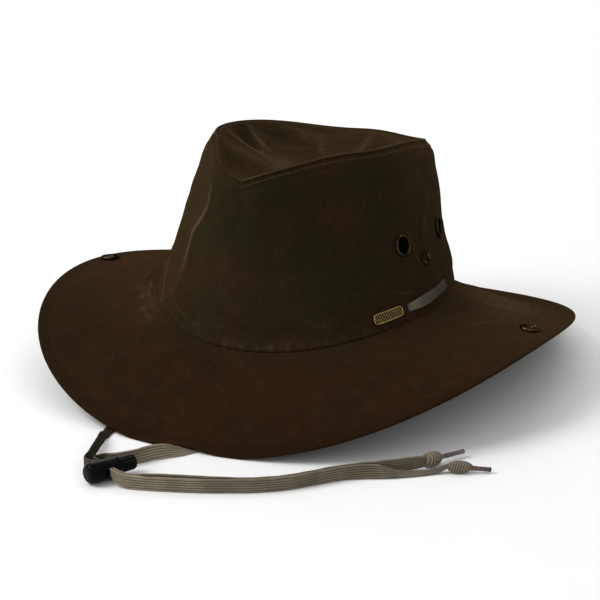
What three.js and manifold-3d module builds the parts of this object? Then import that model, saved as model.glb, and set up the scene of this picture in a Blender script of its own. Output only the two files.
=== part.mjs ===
// A pinch-front outdoor hat of waxed cotton, with a lace chin cord and a spring cord lock.
// Millimetres, +Z up. The front of the hat faces -Y, the wearer's left is +X, and the brim
// rests on Z = 0. A turn is an angle round the hat: 0 at the front, 90 at the wearer's left.
import * as THREE from 'three';
import Module from 'manifold-3d';
import { mergeVertices } from 'three/addons/utils/BufferGeometryUtils.js';

const wasm = await Module();
wasm.setup();

// Driving sizes.
const rim = { halfWidth: 155, halfLength: 164.8, centreY: -1.15, corner: 0.0175, egg: 0.0072 };
const rimLift = { side: 38.7, power: 2.17, forward: 0.385, rear: 1.13, settle: 1.0 };
const cordRipple = { x: 4.5, height: 2.4, halfWidth: 19.4 };
const join = { halfWidth: 86.5, halfLength: 98.6, centreY: -2.83, egg: 0.0116 };
const joinTaper = { turn: 116, swell: 0.032, spread: 35 };
const joinHeight = { middle: 44.5, frontFall: 2.8, saddle: 5.0 };
const joinRear = { drop: 13.5, from: 103, to: 152 };
const ridge = { halfWidth: 48.1, halfLength: 89.0, centreY: 7.86, egg: 0.0795 };
const ridgeShoulder = { turn: 72.8, swell: 0.152, spread: 20 };
const ridgeHeight = { middle: 129.8, frontRise: 16.4, saddle: 6.55 };
const ridgeRear = { rise: 10.2, spread: 34 };
const pinch = { depth: 6.4, spread: 14.1 };
// How far the crown's side stands out from a straight line between join and ridge.
const crownBulge = [
  { rise: 0.00, front: 0.0, back: 0.0 },
  { rise: 0.10, front: -1.2, back: 1.0 },
  { rise: 0.20, front: -0.3, back: 0.6 },
  { rise: 0.32, front: 0.3, back: -0.8 },
  { rise: 0.46, front: 1.5, back: 0.6 },
  { rise: 0.62, front: 2.2, back: 2.9 },
  { rise: 0.80, front: 2.3, back: 4.0 },
  { rise: 0.92, front: 2.6, back: 3.8 },
  { rise: 1.00, front: 0.0, back: 0.0 }
];
const brimRoll = { front: 4, rear: -3.5, sides: -2 };
const tipDent = { height: 109, power: 1.8 };
const wallThickness = 1.6;
const brimThickness = 2.0;
const seamGap = 0.35;
const lap = { low: 0.945, thickness: 1.0 };
const lace = { width: 8, thickness: 1.3 };
const slotRise = 0.08;
const slot = { frontTurn: 69.9, rearTurn: 96.8, length: 7.4, height: 9.8 };
const lock = { x: -21.9, y: -225.6, z: 6.35, heading: 63.4, radius: 6.2, length: 20.5 };

const columns = 64;

// Colours as they look in daylight.
const cloth = { color: 0x38281a, roughness: 0.62, metalness: 0 };
const agedBrass = { color: 0x6e5a36, roughness: 0.42, metalness: 0.85 };
const laceCloth = { color: 0x6b6254, roughness: 0.85, metalness: 0 };
const blackPlastic = { color: 0x0c0d0e, roughness: 0.22, metalness: 0 };
const laceTip = { color: 0x5a4a42, roughness: 0.35, metalness: 0 };

const part = new THREE.Group();

function addMesh(name, geometry, look) {
  const mesh = new THREE.Mesh(geometry, new THREE.MeshStandardMaterial(look));
  mesh.name = name;
  part.add(mesh);
  return mesh;
}

// The three closed curves that the cloth is cut to: the brim's rim, the seam where the crown
// joins the brim, and the ridge round the tip.
const radians = THREE.MathUtils.degToRad;
const hump = (offset, spread) => Math.exp(-((offset / spread) ** 2));
const fromFront = (turn) => Math.abs(THREE.MathUtils.euclideanModulo(turn + 180, 360) - 180);

function rimPoint(turn) {
  const angle = radians(turn);
  const side = Math.sin(angle);
  const front = Math.cos(angle);
  const swell = 1 - rim.egg * Math.cos(3 * angle) - rim.corner * Math.cos(4 * angle);
  const lift = rimLift.side * Math.abs(side) ** rimLift.power * (1 + rimLift.forward * front);
  const rear = rimLift.rear * Math.sin(2 * angle) ** 2 * (1 - front) / 2;
  return new THREE.Vector3(
    rim.halfWidth * side * swell,
    rim.centreY - rim.halfLength * front * swell,
    lift + rear - rimLift.settle
  );
}

function joinPoint(turn) {
  const angle = radians(turn);
  const taper = joinTaper.swell * hump(fromFront(turn) - joinTaper.turn, joinTaper.spread);
  const swell = 1 - join.egg * Math.cos(3 * angle) - taper;
  const fall = joinHeight.frontFall * Math.cos(angle) + joinHeight.saddle * Math.cos(2 * angle);
  const behind = THREE.MathUtils.smoothstep(fromFront(turn), joinRear.from, joinRear.to);
  return new THREE.Vector3(
    join.halfWidth * Math.sin(angle) * swell,
    join.centreY - join.halfLength * Math.cos(angle) * swell,
    joinHeight.middle - fall - joinRear.drop * behind
  );
}

function ridgePoint(turn) {
  const angle = radians(turn);
  const aside = fromFront(turn);
  const shoulder = ridgeShoulder.swell * hump(aside - ridgeShoulder.turn, ridgeShoulder.spread);
  const swell = 1 + ridge.egg * Math.cos(3 * angle) + shoulder;
  const level = ridgeHeight.middle + ridgeHeight.frontRise * Math.cos(angle);
  const saddle = ridgeHeight.saddle * Math.cos(2 * angle);
  const rear = ridgeRear.rise * hump(180 - aside, ridgeRear.spread);
  return new THREE.Vector3(
    ridge.halfWidth * Math.sin(angle) * swell,
    ridge.centreY - ridge.halfLength * Math.cos(angle) * swell,
    level - saddle - pinch.depth * hump(aside, pinch.spread) + rear
  );
}

// A smooth line through one column of the bulge table.
function bulgeAt(column, rise) {
  const last = crownBulge.length - 1;
  const at = THREE.MathUtils.clamp(rise, 0, 1);
  const low = Math.min(crownBulge.findLastIndex((row) => row.rise <= at), last - 1);
  const slopeAt = (place) => {
    const before = crownBulge[Math.max(place - 1, 0)];
    const after = crownBulge[Math.min(place + 1, last)];
    return (after[column] - before[column]) / (after.rise - before.rise);
  };
  const span = crownBulge[low + 1].rise - crownBulge[low].rise;
  const part = (at - crownBulge[low].rise) / span;
  const blend = part * part * (3 - 2 * part);
  const lower = crownBulge[low][column];
  const upper = crownBulge[low + 1][column];
  const lowSlope = (part ** 3 - 2 * part ** 2 + part) * slopeAt(low) * span;
  const highSlope = (part ** 3 - part ** 2) * slopeAt(low + 1) * span;
  return lower + (upper - lower) * blend + lowSlope + highSlope;
}

// The crown's outer face, from the join (rise 0) to the ridge (rise 1), and its outward normal.
function crownPoint(turn, rise) {
  const point = joinPoint(turn).lerp(ridgePoint(turn), rise);
  const outward = new THREE.Vector3(point.x, point.y - 5 * rise, 0).normalize();
  const ahead = THREE.MathUtils.smoothstep(Math.cos(radians(turn)), -1, 1);
  const bulge = THREE.MathUtils.lerp(bulgeAt('back', rise), bulgeAt('front', rise), ahead);
  return point.addScaledVector(outward, bulge);
}

function crownNormal(turn, rise) {
  const around = crownPoint(turn + 0.5, rise).sub(crownPoint(turn - 0.5, rise));
  const upward = crownPoint(turn, rise + 0.01).sub(crownPoint(turn, rise - 0.01));
  return around.cross(upward).normalize();
}

function crownOffset(turn, rise, distance) {
  return crownPoint(turn, rise).addScaledVector(crownNormal(turn, rise), distance);
}

// The middle of the brim's cloth, from the join (reach 0) to the rim (reach 1). It is pressed
// flat where it rests, and rides over the chin cord that comes out under its front.
function brimPoint(turn, reach) {
  const point = joinPoint(turn).lerp(rimPoint(turn), reach);
  const ahead = Math.cos(radians(turn));
  const end = ahead > 0 ? brimRoll.front : brimRoll.rear;
  const roll = end * ahead ** 2 + brimRoll.sides * (1 - ahead ** 2);
  point.z += roll * 4 * reach * (1 - reach);
  point.z = reach < 0 ? joinPoint(turn).z : point.z;
  point.z = Math.max(point.z, brimThickness / 2);
  if (point.y < 0) {
    const beside = Math.min(Math.abs(point.x - cordRipple.x) / cordRipple.halfWidth, 1);
    point.z += cordRipple.height * (1 - beside ** 2) ** 2 * Math.max(reach, 0) ** 4;
  }
  return point;
}

// A closed surface through rings of points. With no poles the last ring joins the first, as
// in a hoop of cloth; with poles the surface is capped at a point at each end.
function surfaceThroughRings(rings, poles = []) {
  const positions = rings.flat().concat(poles).flatMap((point) => point.toArray());
  const index = [];
  const around = rings[0].length;
  const bands = poles.length ? rings.length - 1 : rings.length;
  for (let band = 0; band < bands; band += 1) {
    const here = band * around;
    const next = ((band + 1) % rings.length) * around;
    for (let column = 0; column < around; column += 1) {
      const beside = (column + 1) % around;
      index.push(here + column, here + beside, next + beside);
      index.push(here + column, next + beside, next + column);
    }
  }
  if (poles.length) {
    const first = rings.length * around;
    const lastRing = (rings.length - 1) * around;
    for (let column = 0; column < around; column += 1) {
      const beside = (column + 1) % around;
      index.push(first, beside, column);
      index.push(first + 1, lastRing + column, lastRing + beside);
    }
  }
  const geometry = new THREE.BufferGeometry();
  geometry.setAttribute('position', new THREE.Float32BufferAttribute(positions, 3));
  geometry.setIndex(index);
  geometry.computeVertexNormals();
  return geometry;
}

const turns = Array.from({ length: columns }, (_, column) => (360 * column) / columns);
const ringOf = (pointAt) => turns.map(pointAt);

function toManifold(geometry) {
  const bare = geometry.clone();
  bare.deleteAttribute('normal');
  bare.deleteAttribute('uv');
  const merged = mergeVertices(bare, 1e-4);
  return new wasm.Manifold(new wasm.Mesh({
    numProp: 3,
    vertProperties: new Float32Array(merged.attributes.position.array),
    triVerts: new Uint32Array(merged.index.array)
  }));
}

function fromManifold(solid) {
  const mesh = solid.getMesh();
  const geometry = new THREE.BufferGeometry();
  geometry.setAttribute('position', new THREE.BufferAttribute(mesh.vertProperties, 3));
  geometry.setIndex(new THREE.BufferAttribute(mesh.triVerts, 1));
  geometry.computeVertexNormals();
  return geometry;
}

function cut(geometry, tools) {
  let solid = toManifold(geometry);
  for (const tool of tools) solid = solid.subtract(toManifold(tool));
  return fromManifold(solid);
}

// Places a fitting on the cloth: its own Z goes along the outward normal.
function seatOn(point, normal, upward = new THREE.Vector3(0, 0, 1)) {
  const across = new THREE.Vector3().crossVectors(upward, normal).normalize();
  const along = new THREE.Vector3().crossVectors(normal, across);
  return new THREE.Matrix4().makeBasis(across, along, normal).setPosition(point);
}

const crownSeat = (turn, rise) => seatOn(crownPoint(turn, rise), crownNormal(turn, rise));

function brimSeat(turn, reach) {
  const point = brimPoint(turn, reach);
  const around = brimPoint(turn + 1, reach).sub(brimPoint(turn - 1, reach));
  const outward = brimPoint(turn, reach + 0.01).sub(brimPoint(turn, reach - 0.01));
  const normal = outward.clone().cross(around).normalize();
  return seatOn(point, normal, outward);
}

// A turned ring or stud from [radius, height] pairs, its axis along Z.
function turned(profile, segments = 12) {
  const points = profile.map(([radius, height]) => new THREE.Vector2(radius, height));
  return new THREE.LatheGeometry(points, segments).rotateX(Math.PI / 2);
}

// Ventilation eyelets: two on each side, in front of and behind the crown's snap.
const eyelet = { flange: 6.3, barrel: 5.1, hole: 4.5, seat: 0.65, lip: 1.3 };
const eyeletPlaces = [
  { name: 'front_eyelet_left', turn: 73.1, rise: 0.431 },
  { name: 'rear_eyelet_left', turn: 103.5, rise: 0.41 },
  { name: 'front_eyelet_right', turn: -77.5, rise: 0.431 },
  { name: 'rear_eyelet_right', turn: -103.5, rise: 0.41 }
];
const eyeletInside = -(wallThickness + 1.0);
const eyeletProfile = [
  [eyelet.hole, eyeletInside - 0.4],
  [eyelet.flange, eyeletInside - 0.4],
  [eyelet.flange, eyeletInside],
  [eyelet.barrel, eyeletInside],
  [eyelet.barrel, eyelet.seat],
  [eyelet.flange, eyelet.seat],
  [eyelet.flange - 0.5, eyelet.lip],
  [eyelet.hole + 0.5, eyelet.lip + 0.2],
  [eyelet.hole, eyelet.lip - 0.2],
  [eyelet.hole, eyeletInside - 0.4]
];

// Snap fasteners: a stud on each side of the crown and a socket on each side of the brim, so
// that the brim's sides can be snapped up.
const studPost = 1.2;
const studPlaces = [
  { name: 'crown_snap_left', turn: 84.5, rise: 0.303 },
  { name: 'crown_snap_right', turn: -88, rise: 0.303 }
];
const studProfile = [
  [0, eyeletInside - 0.4],
  [4, eyeletInside - 0.4],
  [4, eyeletInside],
  [studPost, eyeletInside],
  [studPost, seamGap],
  [4.5, seamGap],
  [4.2, 0.9],
  [2.0, 1.2],
  [1.8, 2.4],
  [2.5, 3.2],
  [1.8, 4.0],
  [0, 4.2]
];
const socketPlaces = [
  { name: 'brim_snap_left', turn: 89.9, reach: 0.78 },
  { name: 'brim_snap_right', turn: -93, reach: 0.85 }
];
const brimUnderside = -(brimThickness / 2 + 0.6);
const brimTop = brimThickness / 2 + seamGap;
const socketProfile = [
  [0, brimUnderside - 0.6],
  [5, brimUnderside - 0.6],
  [5, brimUnderside],
  [studPost, brimUnderside],
  [studPost, brimTop],
  [5.6, brimTop],
  [5.4, brimTop + 1.2],
  [4.2, brimTop + 1.8],
  [2.9, brimTop + 1.5],
  [2.7, brimTop + 0.5],
  [0, brimTop + 0.5]
];

// Slits in the crown wall, just above the join, that the lace is threaded through.
const slotPlaces = [slot.frontTurn, slot.rearTurn, -slot.frontTurn, -slot.rearTurn];
const slotCutters = slotPlaces.map((turn) =>
  new THREE.BoxGeometry(slot.length, slot.height, 8)
    .applyMatrix4(crownSeat(turn, slotRise)));
const eyeletCutters = eyeletPlaces.map(({ turn, rise }) =>
  new THREE.CylinderGeometry(eyelet.barrel + 0.3, eyelet.barrel + 0.3, 12, 12)
    .rotateX(Math.PI / 2).applyMatrix4(crownSeat(turn, rise)));
const studCutters = studPlaces.map(({ turn, rise }) =>
  new THREE.CylinderGeometry(studPost + 0.3, studPost + 0.3, 12, 8)
    .rotateX(Math.PI / 2).applyMatrix4(crownSeat(turn, rise)));

// Crown side: one hoop of cloth that stands on the brim.
const crownRises = [0.006, 0.09, 0.19, 0.31, 0.45, 0.6, 0.75, 0.88, 1];
const crownOuter = crownRises.map((rise) => ringOf((turn) => crownPoint(turn, rise)));
const crownInner = crownRises.map((rise) =>
  ringOf((turn) => crownOffset(turn, rise, -wallThickness)));
const joinClearance = brimThickness / 2 + seamGap;
for (const ring of [crownOuter[0], crownInner[0]]) {
  ring.forEach((point, column) => {
    point.z = joinPoint(turns[column]).z + joinClearance;
  });
}
const crownHoop = surfaceThroughRings([...crownOuter, ...crownInner.reverse()]);
addMesh('crown_side', cut(crownHoop, [...slotCutters, ...eyeletCutters, ...studCutters]), cloth);

// Crown tip: a teardrop panel, dented, whose edge lies just inside the ridge.
const tipInset = 2.1;
const tipCentre = new THREE.Vector3(0, ridge.centreY, tipDent.height);

function tipPoint(turn, spread, depth) {
  const before = ridgePoint(turn - 0.5);
  const after = ridgePoint(turn + 0.5);
  const inward = new THREE.Vector3(before.y - after.y, after.x - before.x, 0).normalize();
  const edge = ridgePoint(turn).addScaledVector(inward, tipInset);
  const point = tipCentre.clone().lerp(edge, spread);
  point.z = tipCentre.z + (edge.z - tipCentre.z) * spread ** tipDent.power - depth;
  return point;
}

const tipSpreads = [0.28, 0.55, 0.8, 1];
const tipUpper = tipSpreads.map((spread) => ringOf((turn) => tipPoint(turn, spread, 0.2)));
const tipLower = tipSpreads.map((spread) =>
  ringOf((turn) => tipPoint(turn, spread, 0.2 + wallThickness)));
const tipPoles = [
  tipCentre.clone().setZ(tipCentre.z - 0.2 - wallThickness),
  tipCentre.clone().setZ(tipCentre.z - 0.2)
];
addMesh('crown_tip', surfaceThroughRings([...tipLower, ...tipUpper.reverse()], tipPoles), cloth);

// The tip's edge is turned down over the side and stitched in two rows.
const lapRises = [lap.low, 1];
const lapOuter = lapRises.map((rise) =>
  ringOf((turn) => crownOffset(turn, rise, seamGap + lap.thickness)));
const lapInner = lapRises.map((rise) => ringOf((turn) => crownOffset(turn, rise, seamGap)));
addMesh('tip_seam_lap', surfaceThroughRings([...lapOuter, ...lapInner.reverse()]), cloth);

// Brim: two plies stitched as one, from just inside the crown wall to the rim.
const brimReaches = [-0.045, 0.04, 0.2, 0.4, 0.6, 0.8, 0.972, 1];
const brimUpper = brimReaches.map((reach) =>
  ringOf((turn) => brimPoint(turn, reach).add(new THREE.Vector3(0, 0, brimThickness / 2))));
const brimLower = brimReaches.map((reach) =>
  ringOf((turn) => brimPoint(turn, reach).sub(new THREE.Vector3(0, 0, brimThickness / 2))));
const brimSheet = surfaceThroughRings([...brimLower, ...brimUpper.reverse()]);
const socketCutters = socketPlaces.map(({ turn, reach }) =>
  new THREE.CylinderGeometry(studPost + 0.3, studPost + 0.3, 12, 8)
    .rotateX(Math.PI / 2).applyMatrix4(brimSeat(turn, reach)));
addMesh('brim', cut(brimSheet, socketCutters), cloth);

for (const { name, turn, rise } of eyeletPlaces) {
  addMesh(name, turned(eyeletProfile, 16).applyMatrix4(crownSeat(turn, rise)), agedBrass);
}
for (const { name, turn, rise } of studPlaces) {
  addMesh(name, turned(studProfile).applyMatrix4(crownSeat(turn, rise)), agedBrass);
}
for (const { name, turn, reach } of socketPlaces) {
  addMesh(name, turned(socketProfile).applyMatrix4(brimSeat(turn, reach)), agedBrass);
}

// A plain brass plate, bent to the crown, in front of the left slit.
const plate = { turn: 60.2, rise: 0.085, length: 19, height: 5.4, thickness: 0.9 };
const plateGeometry = new THREE.BoxGeometry(plate.length, plate.height, plate.thickness, 8, 2, 1);
const plateVertices = plateGeometry.attributes.position;
const turnPerMillimetre = 0.62;
const risePerMillimetre = 0.0112;
for (let corner = 0; corner < plateVertices.count; corner += 1) {
  const along = plateVertices.getX(corner);
  const narrow = 1 - 0.3 * Math.abs((2 * along) / plate.length) ** 12;
  const point = crownOffset(
    plate.turn + along * turnPerMillimetre,
    plate.rise + plateVertices.getY(corner) * narrow * risePerMillimetre,
    0.4 + plate.thickness / 2 + plateVertices.getZ(corner)
  );
  plateVertices.setXYZ(corner, point.x, point.y, point.z);
}
addMesh('badge_plate', plateGeometry, agedBrass);

// Flat lace. Each station has its place, the way its width points, and how far it is bunched
// (1 is its full width). The extrusion has a step at each station and the steps between.
class LacePath extends THREE.Curve {
  constructor(stations) {
    super();
    this.stations = stations;
    this.spline = new THREE.CatmullRomCurve3(stations.map(({ at }) => at), false, 'centripetal');
  }

  getPoint(fraction) {
    return this.spline.getPoint(fraction);
  }

  getSpacedPoints(steps) {
    return this.getPoints(steps);
  }

  computeFrenetFrames(steps) {
    const frames = { tangents: [], normals: [], binormals: [] };
    for (let step = 0; step <= steps; step += 1) {
      const fraction = step / steps;
      const place = fraction * (this.stations.length - 1);
      const before = this.stations[Math.floor(place)];
      const after = this.stations[Math.ceil(place)];
      const mix = place - Math.floor(place);
      const tangent = this.spline.getTangent(fraction);
      const wide = before.wide.clone().lerp(after.wide, mix);
      wide.addScaledVector(tangent, -wide.dot(tangent)).normalize();
      const thick = new THREE.Vector3().crossVectors(tangent, wide);
      const bunch = THREE.MathUtils.lerp(before.bunch, after.bunch, mix);
      frames.tangents.push(tangent);
      frames.normals.push(wide.multiplyScalar(bunch));
      frames.binormals.push(thick);
    }
    return frames;
  }
}

const halfWide = lace.width / 2;
const halfThick = lace.thickness / 2;
const laceSection = new THREE.Shape([
  new THREE.Vector2(-halfWide, -halfThick / 2),
  new THREE.Vector2(-halfWide + 0.6, -halfThick),
  new THREE.Vector2(halfWide - 0.6, -halfThick),
  new THREE.Vector2(halfWide, -halfThick / 2),
  new THREE.Vector2(halfWide, halfThick / 2),
  new THREE.Vector2(halfWide - 0.6, halfThick),
  new THREE.Vector2(-halfWide + 0.6, halfThick),
  new THREE.Vector2(-halfWide, halfThick / 2)
]);

function laceGeometry(stations, stepsEach) {
  return new THREE.ExtrudeGeometry(laceSection, {
    steps: (stations.length - 1) * stepsEach,
    bevelEnabled: false,
    extrudePath: new LacePath(stations)
  });
}

// Stations from rows of x, y, z, tilt and bunch. Tilt is how far the lace is turned up from
// lying flat, in degrees: 90 stands on its edge.
function laceStations(rows) {
  const points = rows.map(([x, y, z]) => new THREE.Vector3(x, y, z));
  return rows.map(([, , , tilt, bunch], place) => {
    const back = points[Math.max(place - 1, 0)];
    const ahead = points[Math.min(place + 1, points.length - 1)];
    const travel = ahead.clone().sub(back).normalize();
    const level = new THREE.Vector3(-travel.y, travel.x, 0).normalize();
    const raised = new THREE.Vector3().crossVectors(travel, level);
    const wide = level.multiplyScalar(Math.cos(radians(tilt)));
    wide.addScaledVector(raised, Math.sin(radians(tilt)));
    return { at: points[place], wide, bunch };
  });
}

// The length of lace that the crown holds: outside between the slits on each side, and inside
// round the back of the head. Stand is its distance from the wall's outer face.
const outsideStand = 0.5 + halfThick;
const insideStand = -(wallThickness + 0.65 + halfThick);
const halfCrownLace = [
  { turn: 66.8, stand: insideStand },
  { turn: 68.6, stand: insideStand + 0.3 },
  { turn: 71.2, stand: outsideStand - 0.3 },
  { turn: 73.0, stand: outsideStand },
  { turn: 77.5, stand: outsideStand },
  { turn: 82.0, stand: outsideStand },
  { turn: 87.0, stand: outsideStand },
  { turn: 91.5, stand: outsideStand },
  { turn: 93.7, stand: outsideStand },
  { turn: 95.5, stand: outsideStand - 0.3 },
  { turn: 98.1, stand: insideStand + 0.3 },
  { turn: 99.9, stand: insideStand },
  { turn: 107, stand: insideStand },
  { turn: 117, stand: insideStand },
  { turn: 127, stand: insideStand },
  { turn: 138, stand: insideStand },
  { turn: 149, stand: insideStand },
  { turn: 160, stand: insideStand },
  { turn: 170, stand: insideStand }
];
const crownLace = [
  ...halfCrownLace,
  { turn: 180, stand: insideStand },
  ...halfCrownLace.map(({ turn, stand }) => ({ turn: 360 - turn, stand })).reverse()
];
const crownLaceStations = crownLace.map(({ turn, stand }) => ({
  at: crownOffset(turn, slotRise, stand),
  wide: crownPoint(turn, slotRise + 0.02).sub(crownPoint(turn, slotRise - 0.02)).normalize(),
  bunch: 1
}));
addMesh('crown_cord', laceGeometry(crownLaceStations, 1), laceCloth);

// The two strands: from inside the front slits down to the surface under the hat, out under
// the front of the brim, round into the cord lock, and on to a knot. Rows are x, y, z, tilt
// and bunch. They stand side by side on edge beyond the lock.
const strandStand = insideStand - 1.0;
const leftStart = crownOffset(66.3, slotRise, strandStand).toArray();
const rightStart = crownOffset(-66.3, slotRise, strandStand).toArray();
const leftRows = [
  [...leftStart, 90, 1],
  [66.8, -47.2, 50.5, 84, 1],
  [62.6, -54.0, 40, 70, 1],
  [58.2, -60.0, 26, 50, 1],
  [54.4, -67.5, 13, 26, 1],
  [49.4, -77.5, 4.6, 8, 1],
  [42.0, -91.0, 1.2, 0, 1],
  [32.0, -109.0, 0.75, 0, 1],
  [21.0, -129.0, 0.75, 0, 1],
  [10.5, -148.0, 0.75, 0, 1],
  [4.4, -160.0, 0.72, 0, 1],
  [1.5, -165.6, 1.1, 6, 1],
  [-2.0, -170.5, 3.0, 30, 1],
  [-7.0, -179.0, 4.3, 74, 1],
  [-13.0, -187.5, 4.2, 88, 1],
  [-21.0, -193.6, 4.2, 90, 1],
  [-28.0, -198.5, 4.3, 90, 1],
  [-30.6, -204.0, 4.9, 90, 0.9],
  [-27.6, -207.8, 5.9, 90, 0.72],
  [-21.0, -209.94, 6.35, 90, 0.62],
  [-15.53, -212.68, 6.35, 90, 0.62],
  [-10.06, -215.42, 6.35, 90, 0.62],
  [-6.8, -216.9, 5.6, 90, 0.8],
  [-1.2, -217.2, 4.3, 90, 1],
  [7.0, -215.5, 4.15, 90, 1],
  [19.0, -211.6, 4.15, 90, 1],
  [33.0, -206.4, 4.15, 90, 1],
  [47.5, -199.8, 4.15, 90, 1],
  [61.0, -192.4, 4.15, 90, 1],
  [73.5, -182.6, 4.15, 90, 1],
  [84.0, -170.2, 4.15, 90, 1],
  [94.5, -157.3, 4.15, 90, 1],
  [106.0, -146.5, 4.15, 90, 1],
  [116.0, -138.0, 4.15, 90, 1],
  [124.0, -129.5, 4.15, 90, 1],
  [127.6, -125.2, 4.15, 90, 0.8]
];
const rightRows = [
  [...rightStart, 90, 1],
  [-66.8, -47.2, 50.5, 96, 1],
  [-63.6, -55.0, 40, 110, 1],
  [-61.2, -63.5, 26, 130, 1],
  [-60.0, -74.0, 13, 154, 1],
  [-58.6, -86.0, 4.6, 172, 1],
  [-56.6, -101.0, 1.2, 180, 1],
  [-54.0, -120.0, 0.75, 180, 1],
  [-51.6, -138.0, 0.75, 180, 1],
  [-49.0, -155.0, 0.75, 180, 1],
  [-46.2, -168.0, 1.2, 172, 1],
  [-43.4, -180.0, 2.3, 155, 1],
  [-40.6, -191.0, 3.2, 137, 1],
  [-37.8, -201.0, 4.0, 110, 1],
  [-34.4, -208.6, 4.5, 92, 1],
  [-29.0, -211.3, 5.5, 90, 0.8],
  [-21.8, -211.53, 6.35, 90, 0.62],
  [-16.33, -214.27, 6.35, 90, 0.62],
  [-10.86, -217.01, 6.35, 90, 0.62],
  [-7.4, -218.9, 5.6, 90, 0.8],
  [-1.6, -219.3, 4.3, 90, 1],
  [7.2, -217.4, 4.15, 90, 1],
  [19.7, -213.4, 4.15, 90, 1],
  [33.8, -208.1, 4.15, 90, 1],
  [48.3, -201.4, 4.15, 90, 1],
  [62.1, -193.9, 4.15, 90, 1],
  [74.9, -183.8, 4.15, 90, 1],
  [85.4, -171.4, 4.15, 90, 1],
  [95.9, -158.8, 4.15, 88, 1],
  [108.6, -149.4, 4.0, 62, 1],
  [120.0, -141.8, 1.9, 16, 1],
  [130.5, -133.6, 1.0, 3, 1],
  [137.2, -127.9, 1.8, 3, 0.8],
  [140.6, -125.4, 3.5, 2, 0.55]
];
addMesh('chin_cord_left', laceGeometry(laceStations(leftRows), 1), laceCloth);
addMesh('chin_cord_right', laceGeometry(laceStations(rightRows), 1), laceCloth);

// The end of each strand: an overhand knot, with a short neck of lace, and a crimped aglet.
// Profiles are [radius, distance along] and start 0.3 past the strand's last station.
const agletProfile = (length) => [
  [0, 0],
  [1.3, 0],
  [1.3, length - 0.6],
  [1.0, length],
  [0, length]
];
const ends = [
  {
    side: 'left',
    start: [127.9, -124.8, 4.3],
    aim: [138.8, -104.2, 3.4],
    knot: [[0, 0], [2.2, 0], [3.6, 1.6], [4.1, 4.6], [3.7, 7.6], [2.0, 9.2], [1.2, 10.4], [1.2, 13.2], [0, 13.2]],
    agletFrom: 13.5,
    agletLength: 13
  },
  {
    side: 'right',
    start: [141.3, -125.1, 3.9],
    aim: [161.1, -116.0, 2.1],
    knot: [[0, 0], [1.9, 0], [2.9, 2.0], [3.45, 5.4], [3.2, 9.0], [2.1, 11.4], [1.4, 12.6], [0, 12.6]],
    agletFrom: 12.9,
    agletLength: 10
  }
];
const layAlong = (start, direction, distance) =>
  new THREE.Matrix4()
    .makeRotationFromQuaternion(new THREE.Quaternion()
      .setFromUnitVectors(new THREE.Vector3(0, 0, 1), direction))
    .setPosition(start.clone().addScaledVector(direction, distance));
for (const { side, start, aim, knot: profile, agletFrom, agletLength } of ends) {
  const from = new THREE.Vector3(...start);
  const direction = new THREE.Vector3(...aim).sub(from).normalize();
  const knot = turned(profile).applyMatrix4(layAlong(from, direction, 0));
  const aglet = turned(agletProfile(agletLength), 10)
    .applyMatrix4(layAlong(from, direction, agletFrom));
  addMesh(`knot_${side}`, knot, laceCloth);
  addMesh(`aglet_${side}`, aglet, laceTip);
}

// Cord lock: a barrel with a blind bore and a cross hole, and a sprung plunger whose fluted end
// is the button. Distances are along the lock's axis from the barrel's closed end.
const bore = { radius: 4.9, floor: 2.5 };
const crossHole = { from: 11.6, to: 16.2, height: 5.8 };
const plunger = { radius: 4.5, from: 6.3, shoulder: 21.0, end: 32.1, head: 4.3, flutes: 12 };
const plungerHole = { from: 11.6, to: 19.0 };
const lockSeat = new THREE.Matrix4()
  .makeRotationZ(radians(lock.heading))
  .setPosition(lock.x, lock.y, lock.z);
const barrelProfile = [
  [0, 0],
  [4.6, 0],
  [5.8, 0.7],
  [lock.radius, 2.2],
  [lock.radius, lock.length - 0.6],
  [5.7, lock.length],
  [bore.radius, lock.length],
  [bore.radius, bore.floor],
  [0, bore.floor]
];
const alongX = (geometry) => geometry.rotateY(Math.PI / 2);

function crossCutter({ from, to }, height) {
  return new THREE.BoxGeometry(to - from, 30, height).translate((from + to) / 2, 0, 0);
}

const barrel = cut(alongX(turned(barrelProfile, 20)), [crossCutter(crossHole, crossHole.height)]);
addMesh('lock_barrel', barrel.applyMatrix4(lockSeat), blackPlastic);

const plungerShape = new THREE.Shape();
const fluteCount = plunger.flutes * 4;
for (let step = 0; step <= fluteCount; step += 1) {
  const angle = (2 * Math.PI * step) / fluteCount;
  const radius = plunger.head - 0.22 + 0.22 * Math.cos(plunger.flutes * angle);
  plungerShape[step ? 'lineTo' : 'moveTo'](radius * Math.cos(angle), radius * Math.sin(angle));
}
const headLength = plunger.end - plunger.shoulder;
const head = alongX(new THREE.ExtrudeGeometry(plungerShape, { depth: headLength, bevelEnabled: false }))
  .translate(plunger.shoulder - 0.5, 0, 0);
const shaftLength = plunger.shoulder - plunger.from;
const shaft = new THREE.CylinderGeometry(plunger.radius, plunger.radius, shaftLength, 20)
  .rotateZ(Math.PI / 2)
  .translate(plunger.from + shaftLength / 2, 0, 0);
const button = fromManifold(toManifold(shaft)
  .subtract(toManifold(crossCutter(plungerHole, crossHole.height)))
  .add(toManifold(head)));
addMesh('lock_button', button.applyMatrix4(lockSeat), blackPlastic);

export default part;
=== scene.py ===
# A pinch-front outdoor hat of waxed brown cotton, standing on its brim, with its loose chin
# cord laid in front of it. Metres, +Z up. The front faces -Y and the wearer's left is +X.
# A turn is an angle round the hat in degrees: 0 at the front, 90 at the wearer's left.
import math

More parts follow.
